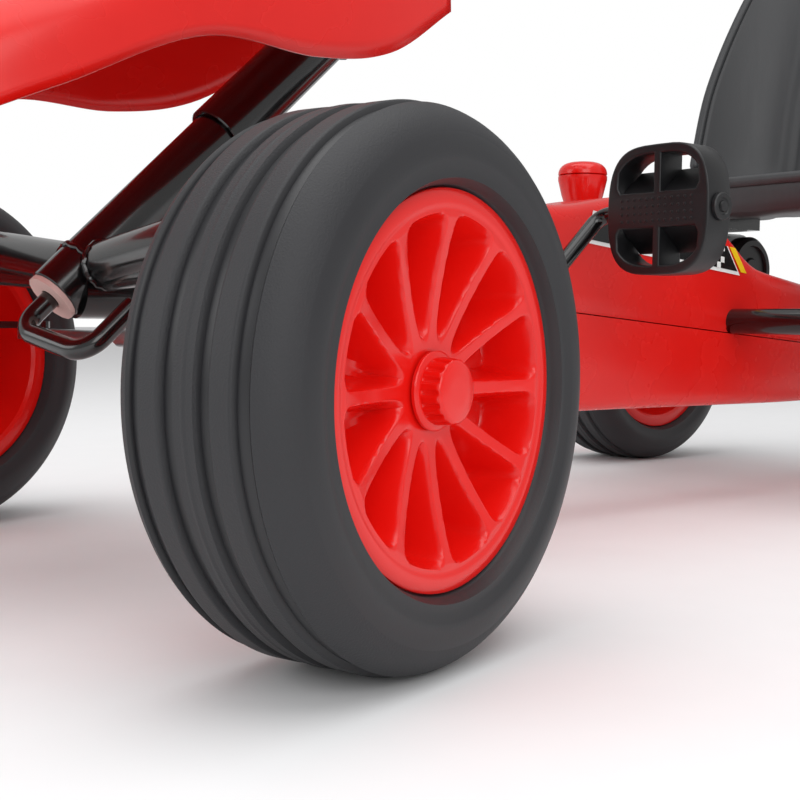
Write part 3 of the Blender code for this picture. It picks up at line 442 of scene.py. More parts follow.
def tube(bm: bmesh.types.BMesh, path: Path, radius: float, sides: int = 24, closed: bool = False) -> None:
    """Sweeps a round bar along a path.

    Args:
        bm: the mesh it is added to.
        path: the points of its centre line.
        radius: its radius.
        sides: steps round it.
        closed: whether the path is a loop.
    """
    normal = (path[1] - path[0]).orthogonal().normalized()
    turns = circle(sides)
    rows = []
    for index, point in enumerate(path):
        before = path[index - 1] if closed else path[max(index - 1, 0)]
        after = path[(index + 1) % len(path)] if closed else path[min(index + 1, len(path) - 1)]
        along = (after - before).normalized()
        normal = (normal - along * normal.dot(along)).normalized()
        side = along.cross(normal)
        rows.append(vertices(bm, (point + (normal * cos(t) + side * sin(t)) * radius for t in turns)))
    if closed:
        bridge(bm, rows, True)
    else:
        skin(bm, rows)


def weld_bead(bm: bmesh.types.BMesh, centre: Vector, axis: Vector, radius: float, width: float = 0.0035) -> None:
    """Adds a rippled bead of weld round a tube.

    Args:
        bm: the mesh it is added to.
        centre: a point of the tube's axis.
        axis: the tube's direction.
        radius: the tube's radius.
        width: the bead's width.
    """
    place = facing(centre, axis)
    ripples, wander = 0.15, 0.2
    loop = []
    for step, turn in enumerate(circle(36)):
        reach = radius + width * ripples * (step % 2)
        loop.append(place @ Vector((width * wander * sin(step * 2.3), reach * sin(turn), reach * cos(turn))))
    tube(bm, loop, width / 2, 8, closed=True)


def smooth_line(points: Sequence[Sequence[float]], count: int) -> np.ndarray:
    """Samples a smooth curve through points.

    Args:
        points: the points that it passes through.
        count: how many samples to take.

    Returns:
        The samples, one row each.
    """
    data = np.array(points, float)
    data = np.vstack([2 * data[0] - data[1], data, 2 * data[-1] - data[-2]])
    samples = []
    for position in np.linspace(0, len(points) - 1, count):
        index = min(int(position), len(points) - 2)
        t = position - index
        p0, p1, p2, p3 = data[index : index + 4]
        slope, bow, twist = p2 - p0, 2 * p0 - 5 * p1 + 4 * p2 - p3, 3 * p1 - p0 - 3 * p2 + p3
        samples.append(0.5 * (2 * p1 + slope * t + bow * t**2 + twist * t**3))
    return np.array(samples)


def plate(name: str, outer: Sequence[Point], holes: Sequence[Sequence[Point]], depth: float, edge: float,
          place: Matrix, finish: Finish) -> bpy.types.Object:
    """A flat moulding with holes and rounded edges.

    Args:
        name: the object's name.
        outer: its outline, in its own plane.
        holes: outlines of its holes.
        depth: its full thickness.
        edge: the radius of its edges.
        place: where it goes; its plane is local XY.
        finish: its finish.

    Returns:
        The object.
    """
    curve = bpy.data.curves.new(name + "_outline", "CURVE")
    curve.dimensions, curve.fill_mode = "2D", "BOTH"
    curve.extrude, curve.bevel_depth, curve.bevel_resolution = depth / 2 - edge, edge, 2
    curve.offset = -edge
    for outline in [outer, *holes]:
        spline = curve.splines.new("POLY")
        spline.points.add(len(outline) - 1)
        spline.use_cyclic_u = True
        for point, (x, y) in zip(spline.points, outline):
            point.co = (x, y, 0.0, 1.0)
    shape = bpy.data.objects.new(name + "_outline", curve)
    bpy.context.scene.collection.objects.link(shape)
    bpy.context.view_layer.update()
    mesh = bpy.data.meshes.new_from_object(shape.evaluated_get(bpy.context.evaluated_depsgraph_get()))
    bpy.data.objects.remove(shape)
    bm = bmesh.new()
    bm.from_mesh(mesh)
    bpy.data.meshes.remove(mesh)
    bmesh.ops.transform(bm, matrix=place, verts=bm.verts)
    return to_object(bm, name, [finish], 50.0)


# ---------------------------------------------------------------- wheels


@dataclass
class Wheel:
    """One wheel: ribbed foam tyre, moulded rim with deep pockets, fluted cap."""

    name: str
    body: Body
    hub: Vector
    outward: Vector
    radius: float = 0.1272
    width: float = 0.095
    shoulder: float = 0.024
    tread_edge: float = 0.034
    smooth_edge: float = 0.0400
    textured_edge: float = 0.0445
    rim_radius: float = 0.0893
    bead_radius: float = 0.080
    lip: float = 0.0398
    groove_places: tuple[float, ...] = (-0.0280, -0.0095, 0.0095, 0.0280)
    groove_width: float = 0.0076
    groove_depth: float = 0.0030
    groove_wall: float = 0.0009
    spokes: int = 12
    spoke_width: float = 0.0062
    pocket_wall: float = 0.0058
    pocket_inner: float = 0.0225
    pocket_outer: float = 0.0778
    pocket_depth: float = 0.0250
    pocket_softness: float = 0.0030
    hub_radius: float = 0.0165
    hub_drop: float = 0.0105
    face_radius: float = 0.0765
    web: float = -0.004
    flutes: int = 16
    flute_depth: float = 0.0011
    cap_radius: float = 0.0152
    cap_length: float = 0.0130
    place: Matrix = field(init=False)

    def __post_init__(self) -> None:
        """Works out where the wheel stands."""
        self.place = facing(self.hub, self.outward)

    def crown(self, across: float) -> float:
        """The tyre's radius at a distance across its tread, grooves left out.

        Args:
            across: the distance from the tread's middle.

        Returns:
            The radius.
        """
        beyond = abs(across) - (self.width / 2 - self.shoulder)
        if beyond <= 0:
            return self.radius
        return self.radius - self.shoulder + (max(self.shoulder**2 - beyond**2, 0.0)) ** 0.5

    def groove(self, across: float) -> float:
        """How deep the tread's grooves are at a distance across it.

        Args:
            across: the distance from the tread's middle.

        Returns:
            The depth.
        """
        nearest = min(abs(across - place) for place in self.groove_places)
        flat = self.groove_width / 2 + 0.0001
        share = min(max((flat - nearest) / self.groove_wall, 0.0), 1.0)
        return self.groove_depth * share * share * (3 - 2 * share)

    def tyre(self) -> None:
        """Builds the tyre and replaces its solid."""
        half = self.width / 2
        crossings = list(np.linspace(-self.tread_edge, self.tread_edge, 86))
        outer = [half - self.shoulder + self.shoulder * sin(radians(turn)) for turn in range(26, 91, 7)]
        profile, kinds = [], []
        for x in [-x for x in outer[::-1]] + crossings + outer:
            seam = 0.0003 if abs(x) < 0.0005 else 0.0
            groove = self.groove(x)
            profile.append((x, self.crown(x) - groove + seam))
            textured = groove < 0.0004 and abs(x) < self.textured_edge
            kinds.append(0 if textured else (1 if abs(x) < self.smooth_edge else 2))
        top = self.radius - self.shoulder
        side = [(half - 0.0004, top - 0.003), (half - 0.0022, top - 0.0065), (half - 0.0020, top - 0.0105),
                (self.lip + 0.0012, self.rim_radius + 0.0012), (self.lip - 0.002, self.rim_radius + 0.0005),
                (self.lip - 0.0076, self.bead_radius)]
        profile += side + [(-x, r) for x, r in side[::-1]]
        kinds += [2] * (2 * len(side))
        bm = bmesh.new()
        lathe(bm, profile, self.place, 168, True, kinds)
        piece = to_object(bm, f"foam_tyre_{self.name}", [EVA_TREAD, EVA_SMOOTH, EVA_SIDE], 50.0)
        settle(piece, self.body, Slot.FOAM, f"tyre_{self.name}")

    def face_height(self, radius: np.ndarray) -> np.ndarray:
        """How far out the spokes' faces stand at a radius."""
        share = np.clip((radius - self.hub_radius) / (self.face_radius - self.hub_radius), 0, 1)
        return self.lip - 0.0008 - self.hub_drop * (1 - share**1.7)

    def column_offsets(self, radius: float) -> np.ndarray:
        """Arc distances from a spoke's middle to a sector's mesh columns, close together at the pocket's wall.

        Args:
            radius: the ring's radius.

        Returns:
            The distances, from one side of the spoke to the other.
        """
        reach = pi * radius / self.spokes
        half = self.spoke_width / 2
        wall_steps = [*np.linspace(0, 1.1, 9), 1.5, 2.1]
        course = np.array([0.0, half * 0.5, half * 0.9, *(half + self.pocket_wall * np.array(wall_steps))])
        widest = course[-1] * 1.1
        if reach < widest:
            course *= reach / widest
        course = np.append(course, reach)
        return np.concatenate([-course[:0:-1], course[:-1]])

    def rim(self) -> None:
        """Builds the rim: pocketed outer face, lips, barrel and the plain dished inner face."""
        radii = np.concatenate([
            np.linspace(0.0150, 0.030, 12), np.linspace(0.0315, 0.068, 22), np.linspace(0.0690, 0.0800, 14),
        ])
        offsets = np.array([self.column_offsets(radius) for radius in radii])
        sectors = np.arange(self.spokes) * 2 * pi / self.spokes
        angles = np.array([
            (sectors[:, None] + row[None, :] / radius).ravel() for row, radius in zip(offsets, radii)
        ])
        grid = np.repeat(radii[:, None], angles.shape[1], axis=1)
        from_spoke = np.abs(np.tile(offsets, (1, self.spokes))) - self.spoke_width / 2
        soft = self.pocket_softness
        walls = (from_spoke, self.pocket_outer - grid, grid - self.pocket_inner)
        inside = -soft * np.log(sum(np.exp(-wall / soft) for wall in walls))
        share = np.clip(inside / self.pocket_wall + 0.12, 0, 1)
        sunk = share * share * (3 - 2 * share)
        face = self.face_height(grid)
        floor = self.lip - self.pocket_depth - 0.004 * (grid - 0.03) / 0.05
        bm = bmesh.new()
        lip, barrel = self.lip, self.bead_radius - 0.0005
        bore = ((lip - 0.016, 0.0110), (lip - 0.0095, 0.0120))
        rows = [vertices(bm, ring(self.place, along, radius, angles[0])) for along, radius in bore]
        for radius, heights, turns in zip(radii, face - sunk * (face - floor), angles):
            points = (Vector((x, radius * sin(a), -radius * cos(a))) for x, a in zip(heights, turns))
            rows.append(vertices(bm, (self.place @ point for point in points)))
        flange = [(lip - 0.0025, 0.0892), (lip - 0.0036, 0.0880), (lip - 0.0075, barrel)]
        outside = [(lip - 0.0004, 0.0812), (lip, 0.0826), (lip, 0.0872), (lip - 0.0008, 0.0888), *flange]
        outside += [(-along, radius) for along, radius in flange[::-1]]
        outside += [(-lip + 0.0008, 0.0888), (-lip, 0.0872), (-lip, 0.0790), (-lip + 0.002, 0.0765),
                    (self.web - 0.006, 0.0740), (self.web, 0.0700), (self.web + 0.003, 0.058),
                    (self.web + 0.003, 0.030), (self.web - 0.002, 0.0210), (-lip + 0.006, 0.0185),
                    (-lip + 0.0045, 0.0172), (-lip + 0.0045, 0.0110)]
        rows += [vertices(bm, ring(self.place, along, radius, angles[-1])) for along, radius in outside]
        bridge(bm, rows, True)
        name = f"moulded_rim_{self.name}"
        add_piece(bm, name, RED_POLYPROPYLENE, self.body, Slot.RED, f"rim_{self.name}", angle=38.0)
        self.rear_ribs()

    def rear_ribs(self) -> None:
        """Builds the triangular ribs between the inner face's hub and its web."""
        bm = bmesh.new()
        outline = [(-0.002, 0.0195), (-0.002, 0.056), (-0.008, 0.052), (-0.030, 0.0195)]
        half_wall = 0.0012
        for angle in circle(self.spokes // 2, 0.5):
            place = self.place @ Matrix.Rotation(angle, 4, "X")
            faces = (-half_wall, half_wall)
            skin(bm, [vertices(bm, (place @ Vector((x, side, r)) for x, r in outline)) for side in faces])
        add_piece(bm, f"rim_ribs_{self.name}", RED_POLYPROPYLENE, self.body, Slot.RED, angle=30.0)

    def cap(self) -> None:
        """Builds the fluted hub cap."""
        start, end = self.lip - 0.0100, self.lip - 0.0100 + self.cap_length
        radius = self.cap_radius
        rings = [(start, 0.0178, 0), (start + 0.0016, 0.0180, 0), (start + 0.0026, 0.0172, 0),
                 (start + 0.0030, radius, 0.2), (start + 0.0042, radius, 1), (start + 0.0100, radius - 0.0005, 1),
                 (start + 0.0118, radius - 0.0008, 0.3), (end - 0.0005, radius - 0.0016, 0),
                 (end, radius - 0.0028, 0), (end, 0.006, 0)]
        bm = bmesh.new()
        rows = []
        for along, outer, flute in rings:
            row = []
            for angle in circle(self.flutes * 8):
                reach = outer - self.flute_depth * flute * max(0.0, cos(self.flutes * angle)) ** 0.6
                row += ring(self.place, along, reach, [angle])
            rows.append(vertices(bm, row))
        skin(bm, rows)
        name = f"fluted_cap_{self.name}"
        add_piece(bm, name, RED_POLYPROPYLENE, self.body, Slot.RED, f"hub_cap_{self.name}", angle=45.0)

    def build(self) -> None:
        """Builds the whole wheel."""
        self.tyre()
        self.rim()
        self.cap()


# ---------------------------------------------------------------- frame


@dataclass
class FrontFrame:
    """Welded front beam, struts, kingpin tubes and steering post."""

    beam_radius: float = 0.0138
    strut_radius: float = 0.0068
    post_radius: float = 0.0169
    tube_radius: float = 0.0179
    kingpin_x: float = abs(KINGPIN_LEFT.x)
    beam_height: float = 0.187
    beam_rise: float = 0.020
    strut_drop: float = 0.019
    kingpin_tube: Point = (0.164, 0.232)
    kingpin_radius: float = 0.0119
    main_height: float = 0.175
    weld_inset: float = 0.0125
    post_length: float = 0.430
    post_bore: float = 0.0125
    sleeve_start: float = 0.151
    sleeve_wall: float = 0.0034
    sleeve_bore: float = 0.0174

    def build(self) -> None:
        """Builds the welded frame as one piece, and the post's sleeve."""
        bm = bmesh.new()
        end_height = self.beam_height + self.beam_rise
        tube(bm, [at(0, -0.010, self.main_height), at(0, 0.120, self.main_height)], self.tube_radius, 32)
        for sign in (1, -1):
            pin = sign * self.kingpin_x
            end = at(pin, 0, end_height)
            tube(bm, [at(-sign * 0.004, 0, self.beam_height), end], self.beam_radius, 32)
            low = at(sign * 0.010, 0, self.beam_height - 0.0076)
            strut_end = at(pin, 0, end_height - self.strut_drop)
            tube(bm, [low, strut_end], self.strut_radius, 20)
            tube(bm, [at(pin, 0, height) for height in self.kingpin_tube], self.kingpin_radius, 28)
            along = (end - low).normalized()
            weld_bead(bm, end - along * self.weld_inset, along, self.beam_radius)
            weld_bead(bm, strut_end - along * self.weld_inset, along, self.strut_radius, 0.003)
            weld_bead(bm, at(sign * 0.022, 0, self.beam_height + 0.002), along, self.beam_radius)
        place = facing(on_post(0), POST_AXIS)
        radius, length, edge = self.post_radius, self.post_length, self.post_radius - 0.0006
        lathe(bm, [(0.0, self.post_bore), (0.0, edge), (0.0006, radius), (length - 0.0006, radius), (length, edge),
                   (length, self.post_bore)], place, 40)
        weld_bead(bm, on_post(0.026), POST_AXIS, radius)
        add_piece(bm, "welded_front", POWDER_COAT, Body.FRAME, Slot.PAINT, "front_frame")
        sleeve = bmesh.new()
        start, outer, edge = self.sleeve_start, radius + self.sleeve_wall, 0.0008
        lathe(sleeve, [(start, self.sleeve_bore), (start, outer - edge), (start + edge, outer),
                       (length - edge, outer), (length, outer - edge), (length, self.sleeve_bore)], place, 40)
        add_piece(sleeve, "post_cover", POWDER_COAT, Body.FRAME, Slot.PAINT, "post_sleeve")


@dataclass
class RearFrame:
    """Main tube, bent cross tube with its side rails, seat rails and bearing plates."""

    rail_x: float = 0.165
    seat_rail_x: float = 0.130
    cross_station: float = 0.573
    cross_radius: float = 0.0109
    height: float = 0.159
    rail_height: float = 0.245
    seat_front: float = 0.650
    axle_station: float = REAR_HUB.y - AXLE_Y
    seat_rail_radius: float = 0.0089
    main_tube_radius: float = 0.0179
    bottom_bracket: Point = (0.022, 0.0149)
    weld_inset: float = 0.012

    def build(self) -> None:
        """Builds the welded rear as one piece, and the bearing plates."""
        bm = bmesh.new()
        tube(bm, [at(0, 0.1203, 0.175), at(0, self.cross_station, 0.175)], self.main_tube_radius, 32)
        half, radius = Vector((self.bottom_bracket[0], 0, 0)), self.bottom_bracket[1]
        tube(bm, [CRANK_CENTRE - half, CRANK_CENTRE + half], radius, 28)
        top, back = self.height + 0.004, self.axle_station + 0.020
        corners = [at(-self.rail_x, back, top), at(-self.rail_x, self.cross_station, self.height),
                   at(self.rail_x, self.cross_station, self.height), at(self.rail_x, back, top)]
        tube(bm, rounded_path(corners, 0.040, 12), self.cross_radius, 28)
        for sign in (1, -1):
            x = sign * self.seat_rail_x
            rail = [at(x, self.cross_station, self.height), at(x, self.seat_front + 0.005, self.rail_height),
                    at(x, self.seat_front + 0.190, self.rail_height),
                    at(x, self.axle_station + 0.030, self.rail_height - 0.050),
                    at(sign * self.rail_x, self.axle_station + 0.005, top)]
            tube(bm, rounded_path(rail, 0.012, 8), self.seat_rail_radius, 24)
            for end, inner in ((rail[0], rail[1]), (rail[-1], rail[-2])):
                along = inner - end
                weld_bead(bm, end + along.normalized() * self.weld_inset, along, self.seat_rail_radius, 0.003)
        add_piece(bm, "welded_rear", POWDER_COAT, Body.FRAME, Slot.PAINT, "main_frame")
        sideways = Matrix(((0, 0, 1, 0), (1, 0, 0, 0), (0, 1, 0, 0), (0, 0, 0, 1)))
        outline = [(-0.024, 0.036), (-0.020, -0.022), (0.020, -0.022), (0.024, 0.036)]
        hole = [(0.0162 * cos(turn), 0.0162 * sin(turn)) for turn in circle(32)]
        for side, sign in (("left", 1), ("right", -1)):
            place = Matrix.Translation(Vector((sign * self.rail_x, REAR_HUB.y, REAR_HUB.z))) @ sideways
            made = plate(f"bearing_plate_{side}", outline, [hole], 0.0078, 0.0008, place, POWDER_COAT)
            settle(made, Body.FRAME, Slot.PAINT)


@dataclass
class ChainCase:
    """The two red shells round the chain, with their label."""

    left: float = 0.050
    right: float = -0.035
    front: float = 0.192
    back: float = 0.856
    tops: tuple[Point, ...] = (
        (0.192, 0.166), (0.200, 0.212), (0.232, 0.238), (0.310, 0.243), (0.375, 0.247), (0.430, 0.257),
        (0.490, 0.260), (0.540, 0.250), (0.567, 0.233), (0.597, 0.211), (0.620, 0.204), (0.680, 0.195),
        (0.755, 0.183), (0.816, 0.175), (0.848, 0.155), (0.856, 0.128),
    )
    bottoms: tuple[Point, ...] = (
        (0.192, 0.164), (0.194, 0.132), (0.208, 0.104), (0.250, 0.088), (0.450, 0.087), (0.658, 0.085),
        (0.816, 0.086), (0.846, 0.100), (0.856, 0.126),
    )
    seam_start: Point = (0.380, 0.164)
    seam_slope: float = -0.080
    crease_start: Point = (0.377, 0.1217)
    crease_slope: float = -0.0577
    edge: float = 0.014
    corner_reach: float = 0.012
    label_low: Point = (0.386, 0.2205)
    label_top: float = 0.240
    label_end: float = 0.578
    label_slope: float = -0.100

    def seam(self, station: float) -> float:
        """Height of the parting line at a station."""
        return self.seam_start[1] + self.seam_slope * (station - self.seam_start[0])

    def stations(self) -> np.ndarray:
        """Stations of the shells' sections, close together at both ends."""
        share = (1 - np.cos(np.linspace(0, pi, 90))) / 2
        return self.front + 0.0004 + (self.back - self.front - 0.0008) * share

    def level(self, line: Sequence[Point], station: float) -> float:
        """Height of one of the outlines at a station, with its corners eased.

        Args:
            line: the outline's points as (station, height).
            station: where the height is wanted.

        Returns:
            The height.
        """
        reach = self.corner_reach
        places = [min(max(station + reach * step, self.front), self.back) for step in (-1.0, -0.5, 0.0, 0.5, 1.0)]
        if min(station - self.front, self.back - station) < reach:
            places = [station]
        return float(np.mean(np.interp(places, [p[0] for p in line], [p[1] for p in line])))

    def section(self, station: float, upper: bool) -> list[Vector]:
        """One cross-section of a shell, from its left edge over to its right edge.

        Args:
            station: where it is cut.
            upper: whether it belongs to the upper shell.

        Returns:
            Its points.
        """
        up, overhang = (1.0, 0.0012) if upper else (-1.0, 0.0)
        seam = self.seam(station) + up * 0.0005
        limit = self.level(self.tops if upper else self.bottoms, station)
        limit = max(limit, seam + 0.0004) if upper else min(limit, seam - 0.0004)
        tall = abs(limit - seam)
        round_off = min(self.edge, tall * 0.9)
        crease = self.crease_start[1] + self.crease_slope * (station - self.crease_start[0])
        side = []
        for share in (0.0, 0.03, 0.06, 0.2, 0.4, 0.6, 0.8, 1.0):
            z = seam + up * share * (tall - round_off)
            tuck = 0.0015 * (1 - share) if upper else 0.0012 + max(0.0, crease - z) * 0.22
            side.append((tuck if share > 0.04 else tuck + overhang, z))
        base = side[-1][0]
        for turn in (pi / 2 * step / 6 for step in range(1, 7)):
            side.append((base + round_off * (1 - cos(turn)), limit - up * round_off * (1 - sin(turn))))
        left = [at(self.left - tuck, station, z) for tuck, z in side]
        right = [at(self.right + tuck, station, z) for tuck, z in side[::-1]]
        return left + [at((self.left + self.right) / 2, station, limit - up * 0.0002)] + right

    def shell(self, name: str, node: str, upper: bool) -> None:
        """Builds one shell.

        Args:
            name: the piece's name.
            node: the working solid that it replaces.
            upper: whether it is the upper one.
        """
        bm = bmesh.new()
        skin(bm, [vertices(bm, self.section(station, upper)) for station in self.stations()])
        add_piece(bm, name, RED_POLYETHYLENE, Body.FRAME, Slot.RED, node, angle=35.0)

    def film(self, bm: bmesh.types.BMesh, corners: Sequence[Point], low: float, high: float) -> None:
        """Adds a film of label on the left side of the upper shell.

        Args:
            bm: the mesh it is added to.
            corners: its corners as (station, height).
            low: how far its back stands off the shell.
            high: how far its face does.
        """
        skin(bm, [vertices(bm, (at(self.left + out, *corner) for corner in corners)) for out in (low, high)])

    def label(self) -> None:
        """Builds the plain striped label: a black panel with a white edge, a chequered end and a yellow stripe."""
        low, high, end, lean = self.label_low, (self.label_low[0], self.label_top), self.label_end, self.label_slope

        def line(start: Point, station: float) -> Point:
            """The point at a station on the label's slope through a start."""
            return station, start[1] + lean * (station - start[0])

        under, over = (low[0], low[1] - 0.003), (high[0], high[1] + 0.003)
        films = (
            ("edge", LABEL_WHITE, 0.0004,
             [line(under, low[0] - 0.004), line(under, end), line(high, end - 0.018), line(over, high[0] + 0.004)]),
            ("panel", LABEL_BLACK, 0.0007,
             [line(low, low[0]), line(low, end - 0.004), line(high, end - 0.020), line(high, high[0] + 0.006)]),
            ("stripe", LABEL_YELLOW, 0.0008,
             [line(low, end + 0.001), line(low, end + 0.009), line(high, end - 0.008), line(high, end - 0.016)]),
        )
        for name, finish, lift, corners in films:
            bm = bmesh.new()
            self.film(bm, corners, lift - 0.0003, lift)
            add_piece(bm, f"label_{name}", finish, Body.FRAME, Slot.RED, angle=30.0)
        cell = (high[1] - low[1]) / 4
        bm = bmesh.new()
        for column in range(8):
            for row in range(column % 2, 4, 2):
                station = end - 0.062 + cell * column
                z = low[1] + lean * (station - low[0]) + cell * row
                fall = lean * cell
                corners = [(station, z), (station + cell, z + fall), (station + cell, z + cell + fall),
                           (station, z + cell)]
                self.film(bm, corners, 0.0007, 0.0009)
        add_piece(bm, "label_chequer", LABEL_WHITE, Body.FRAME, Slot.RED, angle=30.0)

    def build(self) -> None:
        """Builds both shells and the label."""
        self.shell("chain_case_top", "case_upper", True)
        self.shell("chain_case_base", "case_lower", False)
        self.label()


# ---------------------------------------------------------------- drive


@dataclass
class Drive:
    """The bent crank and its moulded pedals."""

    length: float = 0.104
    angle: float = radians(47.5)
    bar_radius: float = 0.0059
    arm_x: float = 0.080
    inner_x: float = 0.097
    pedal_size: Point = (0.088, 0.090)
    depth: float = 0.0248
    bend: float = 0.012
    edge: float = 0.0016
    window_inner: float = 0.0030
    window_outer: float = 0.0345
    window_low: float = 0.0125

    def pedal_place(self, sign: int) -> Vector:
        """The pedal axle's point on the crank, on the kart's middle plane."""
        return CRANK_CENTRE + Vector((0, cos(self.angle), sin(self.angle))) * self.length * sign

    def crank(self) -> None:
        """Builds the crank, bent from one bar."""
        end, bend = self.inner_x + self.pedal_size[0] - 0.004, self.arm_x - 0.014
        left, right = self.pedal_place(1), self.pedal_place(-1)
        side = Vector((1, 0, 0))
        corners = [right - side * end, right - side * self.arm_x, CRANK_CENTRE - side * bend,
                   CRANK_CENTRE + side * bend, left + side * self.arm_x, left + side * end]
        bm = bmesh.new()
        tube(bm, rounded_path(corners, self.bend, 10), self.bar_radius, 24)
        add_piece(bm, "bent_crank", POWDER_COAT, Body.CRANK, Slot.PAINT, "crank")

    def outline(self) -> list[Point]:
        """The pedal's outline: straight sides, arched top and bottom."""
        half_x, half_z = self.pedal_size[0] / 2, self.pedal_size[1] / 2
        return [
            (abs(cos(turn)) ** 0.55 * half_x * (1 if cos(turn) > 0 else -1),
             abs(sin(turn)) ** 0.75 * half_z * (1 if sin(turn) > 0 else -1))
            for turn in circle(64)
        ]

    def window(self, across: int, above: int) -> list[Point]:
        """One of the pedal's four openings, with its outer corner arched.

        Args:
            across: 1 or -1, the side it is on.
            above: 1 or -1, whether it is the upper or the lower one.

        Returns:
            Its outline.
        """
        inner, outer, low = self.window_inner, self.window_outer, self.window_low
        arch = [(x, 0.0385 * (1 - (x / 0.0425) ** 3.4) ** 0.5) for x in np.linspace(inner, outer, 10)]
        loop = [(inner, low)] + arch + [(outer + 0.0005, low + 0.004), (outer - 0.002, low)]
        loop = [(x * across, z * above) for x, z in loop]
        return loop if across * above < 0 else loop[::-1]

    def ramp(self, bm: bmesh.types.BMesh, centre: Vector, across: int, above: int) -> None:
        """Adds the wedge that closes the inner part of one opening towards the back.

        Args:
            bm: the mesh it is added to.
            centre: the pedal's middle.
            across: 1 or -1, the side of the opening.
            above: 1 or -1, whether it is the upper or the lower one.
        """
        low, high, half = 0.0120, 0.0290, self.depth / 2
        outline = [(-half + 0.003, low), (half - 0.001, low), (half - 0.001, high)]
        skin(bm, [
            vertices(bm, (centre + Vector((across * x, y, above * z)) for y, z in outline)) for x in (0.0028, 0.0330)
        ])

    def pedal(self, side: str, sign: int, body: Body) -> None:
        """Builds one pedal.

        Args:
            side: left or right.
            sign: 1 on the left, -1 on the right.
            body: the body it turns with.
        """
        half = self.pedal_size[0] / 2
        centre = self.pedal_place(sign) + Vector((sign * (self.inner_x + half), 0, 0))
        place = Matrix.Translation(centre) @ Matrix(((1, 0, 0, 0), (0, 0, -1, 0), (0, 1, 0, 0), (0, 0, 0, 1)))
        quarters = [(across, above) for across in (1, -1) for above in (1, -1)]
        holes = [self.window(*quarter) for quarter in quarters]
        made = plate(f"pedal_body_{side}", self.outline(), holes, self.depth, self.edge, place, BLACK_POLYPROPYLENE)
        settle(made, body, Slot.BLACK, f"pedal_{side}")
        ramps, studs, cap = bmesh.new(), bmesh.new(), bmesh.new()
        for quarter in quarters:
            self.ramp(ramps, centre, *quarter)
        add_piece(ramps, f"pedal_ramps_{side}", BLACK_POLYPROPYLENE, body, Slot.BLACK, angle=30.0)
        stud = [(-0.0005, 0.0013), (0.0006, 0.0012), (0.0009, 0.0007)]
        spots = [(face, row, column) for face in (-1, 1) for row in range(4) for column in range(12)]
        for face, row, column in spots:
            spot = (-0.0305 + 0.0055 * column, face * (self.depth / 2 - 0.0003), -0.0075 + 0.005 * row)
            lathe(studs, stud, facing(centre + Vector(spot), Vector((0, face, 0))), 8, False)
        add_piece(studs, f"pedal_studs_{side}", BLACK_POLYPROPYLENE, body, Slot.BLACK)
        edge = centre + Vector((sign * (half + 0.0003), 0, 0))
        outward = facing(edge, Vector((sign, 0, 0)))
        lathe(cap, [(0, 0.0094), (0.0024, 0.0094), (0.0032, 0.0086), (0.0032, 0.0060), (0.0024, 0.0054),
                    (0.0024, 0.0040), (0.0038, 0.0034), (0.0040, 0.0010)], outward, 36, False)
        add_piece(cap, f"pedal_end_{side}", BLACK_POLYPROPYLENE, body, Slot.BLACK, f"pedal_cap_{side}")

    def build(self) -> None:
        """Builds the crank and both pedals."""
        self.crank()
        self.pedal("left", 1, Body.PEDAL_LEFT)
        self.pedal("right", -1, Body.PEDAL_RIGHT)


# ---------------------------------------------------------------- steering


@dataclass
class Steering:
    """The shaft with its bent lower crank, the wheel and its pad."""

    shaft_radius: float = 0.0059
    throw: float = 0.064
    sticks_out: float = 0.030
    pin: float = 0.040
    wheel_at: float = 0.500
    wheel_radius: float = 0.125
    grip: float = 0.0128
    spoke_radius: float = 0.0098
    hub_bore: float = 0.0064
    turn: Matrix = field(init=False)

    def __post_init__(self) -> None:
        """Works out the turn at rest."""
        foot = Matrix.Translation(POST_FOOT)
        self.turn = foot @ Matrix.Rotation(STEER_AT_REST, 4, POST_AXIS) @ foot.inverted()

    def place(self, bm: bmesh.types.BMesh, name: str, finish: Finish, slot: Slot, node: str) -> None:
        """Turns a mesh to the resting angle and settles it."""
        bmesh.ops.transform(bm, matrix=self.turn, verts=bm.verts)
        add_piece(bm, name, finish, Body.STEERING, slot, node)

    def build(self) -> None:
        """Builds the shaft, wheel and pad."""
        shaft, rim, pad = bmesh.new(), bmesh.new(), bmesh.new()
        foot = -self.sticks_out
        corners = [on_post(self.wheel_at - 0.004), on_post(foot), on_post(foot, side=self.throw),
                   on_post(foot + self.pin, side=self.throw)]
        tube(shaft, rounded_path(corners, 0.014, 10), self.shaft_radius, 24)
        self.place(shaft, "bent_shaft", POWDER_COAT, Slot.PAINT, "steering_shaft")
        place = facing(on_post(self.wheel_at + 0.012), POST_AXIS)
        reach = self.wheel_radius - self.grip
        loop = [place @ Vector((0, reach * cos(turn), reach * sin(turn))) for turn in circle(96)]
        tube(rim, loop, self.grip, 20, closed=True)
        hub = facing(on_post(self.wheel_at), POST_AXIS)
        lathe(rim, [(-0.034, self.hub_bore), (-0.034, 0.0270), (-0.031, 0.0300), (-0.006, 0.0300), (-0.0003, 0.0285),
                    (-0.0003, self.hub_bore)], hub, 40)
        for turn in circle(3):
            across, side = -cos(turn) * reach, sin(turn) * reach
            inner = on_post(self.wheel_at - 0.018, across * 0.2, side * 0.2)
            tube(rim, [inner, on_post(self.wheel_at + 0.010, across, side)], self.spoke_radius, 20)
        self.place(rim, "wheel_rim", BLACK_POLYPROPYLENE, Slot.BLACK, "steering_wheel")
        profile = [(0.0, 0.0360), (0.004, 0.0376), (0.010, 0.0380), (0.014, 0.0368), (0.018, 0.0320),
                   (0.0200, 0.0200), (0.0209, 0.0080)]
        lathe(pad, profile, hub, 48, False)
        self.place(pad, "wheel_pad", BLACK_POLYPROPYLENE, Slot.BLACK, "steering_pad")


# ---------------------------------------------------------------- shells


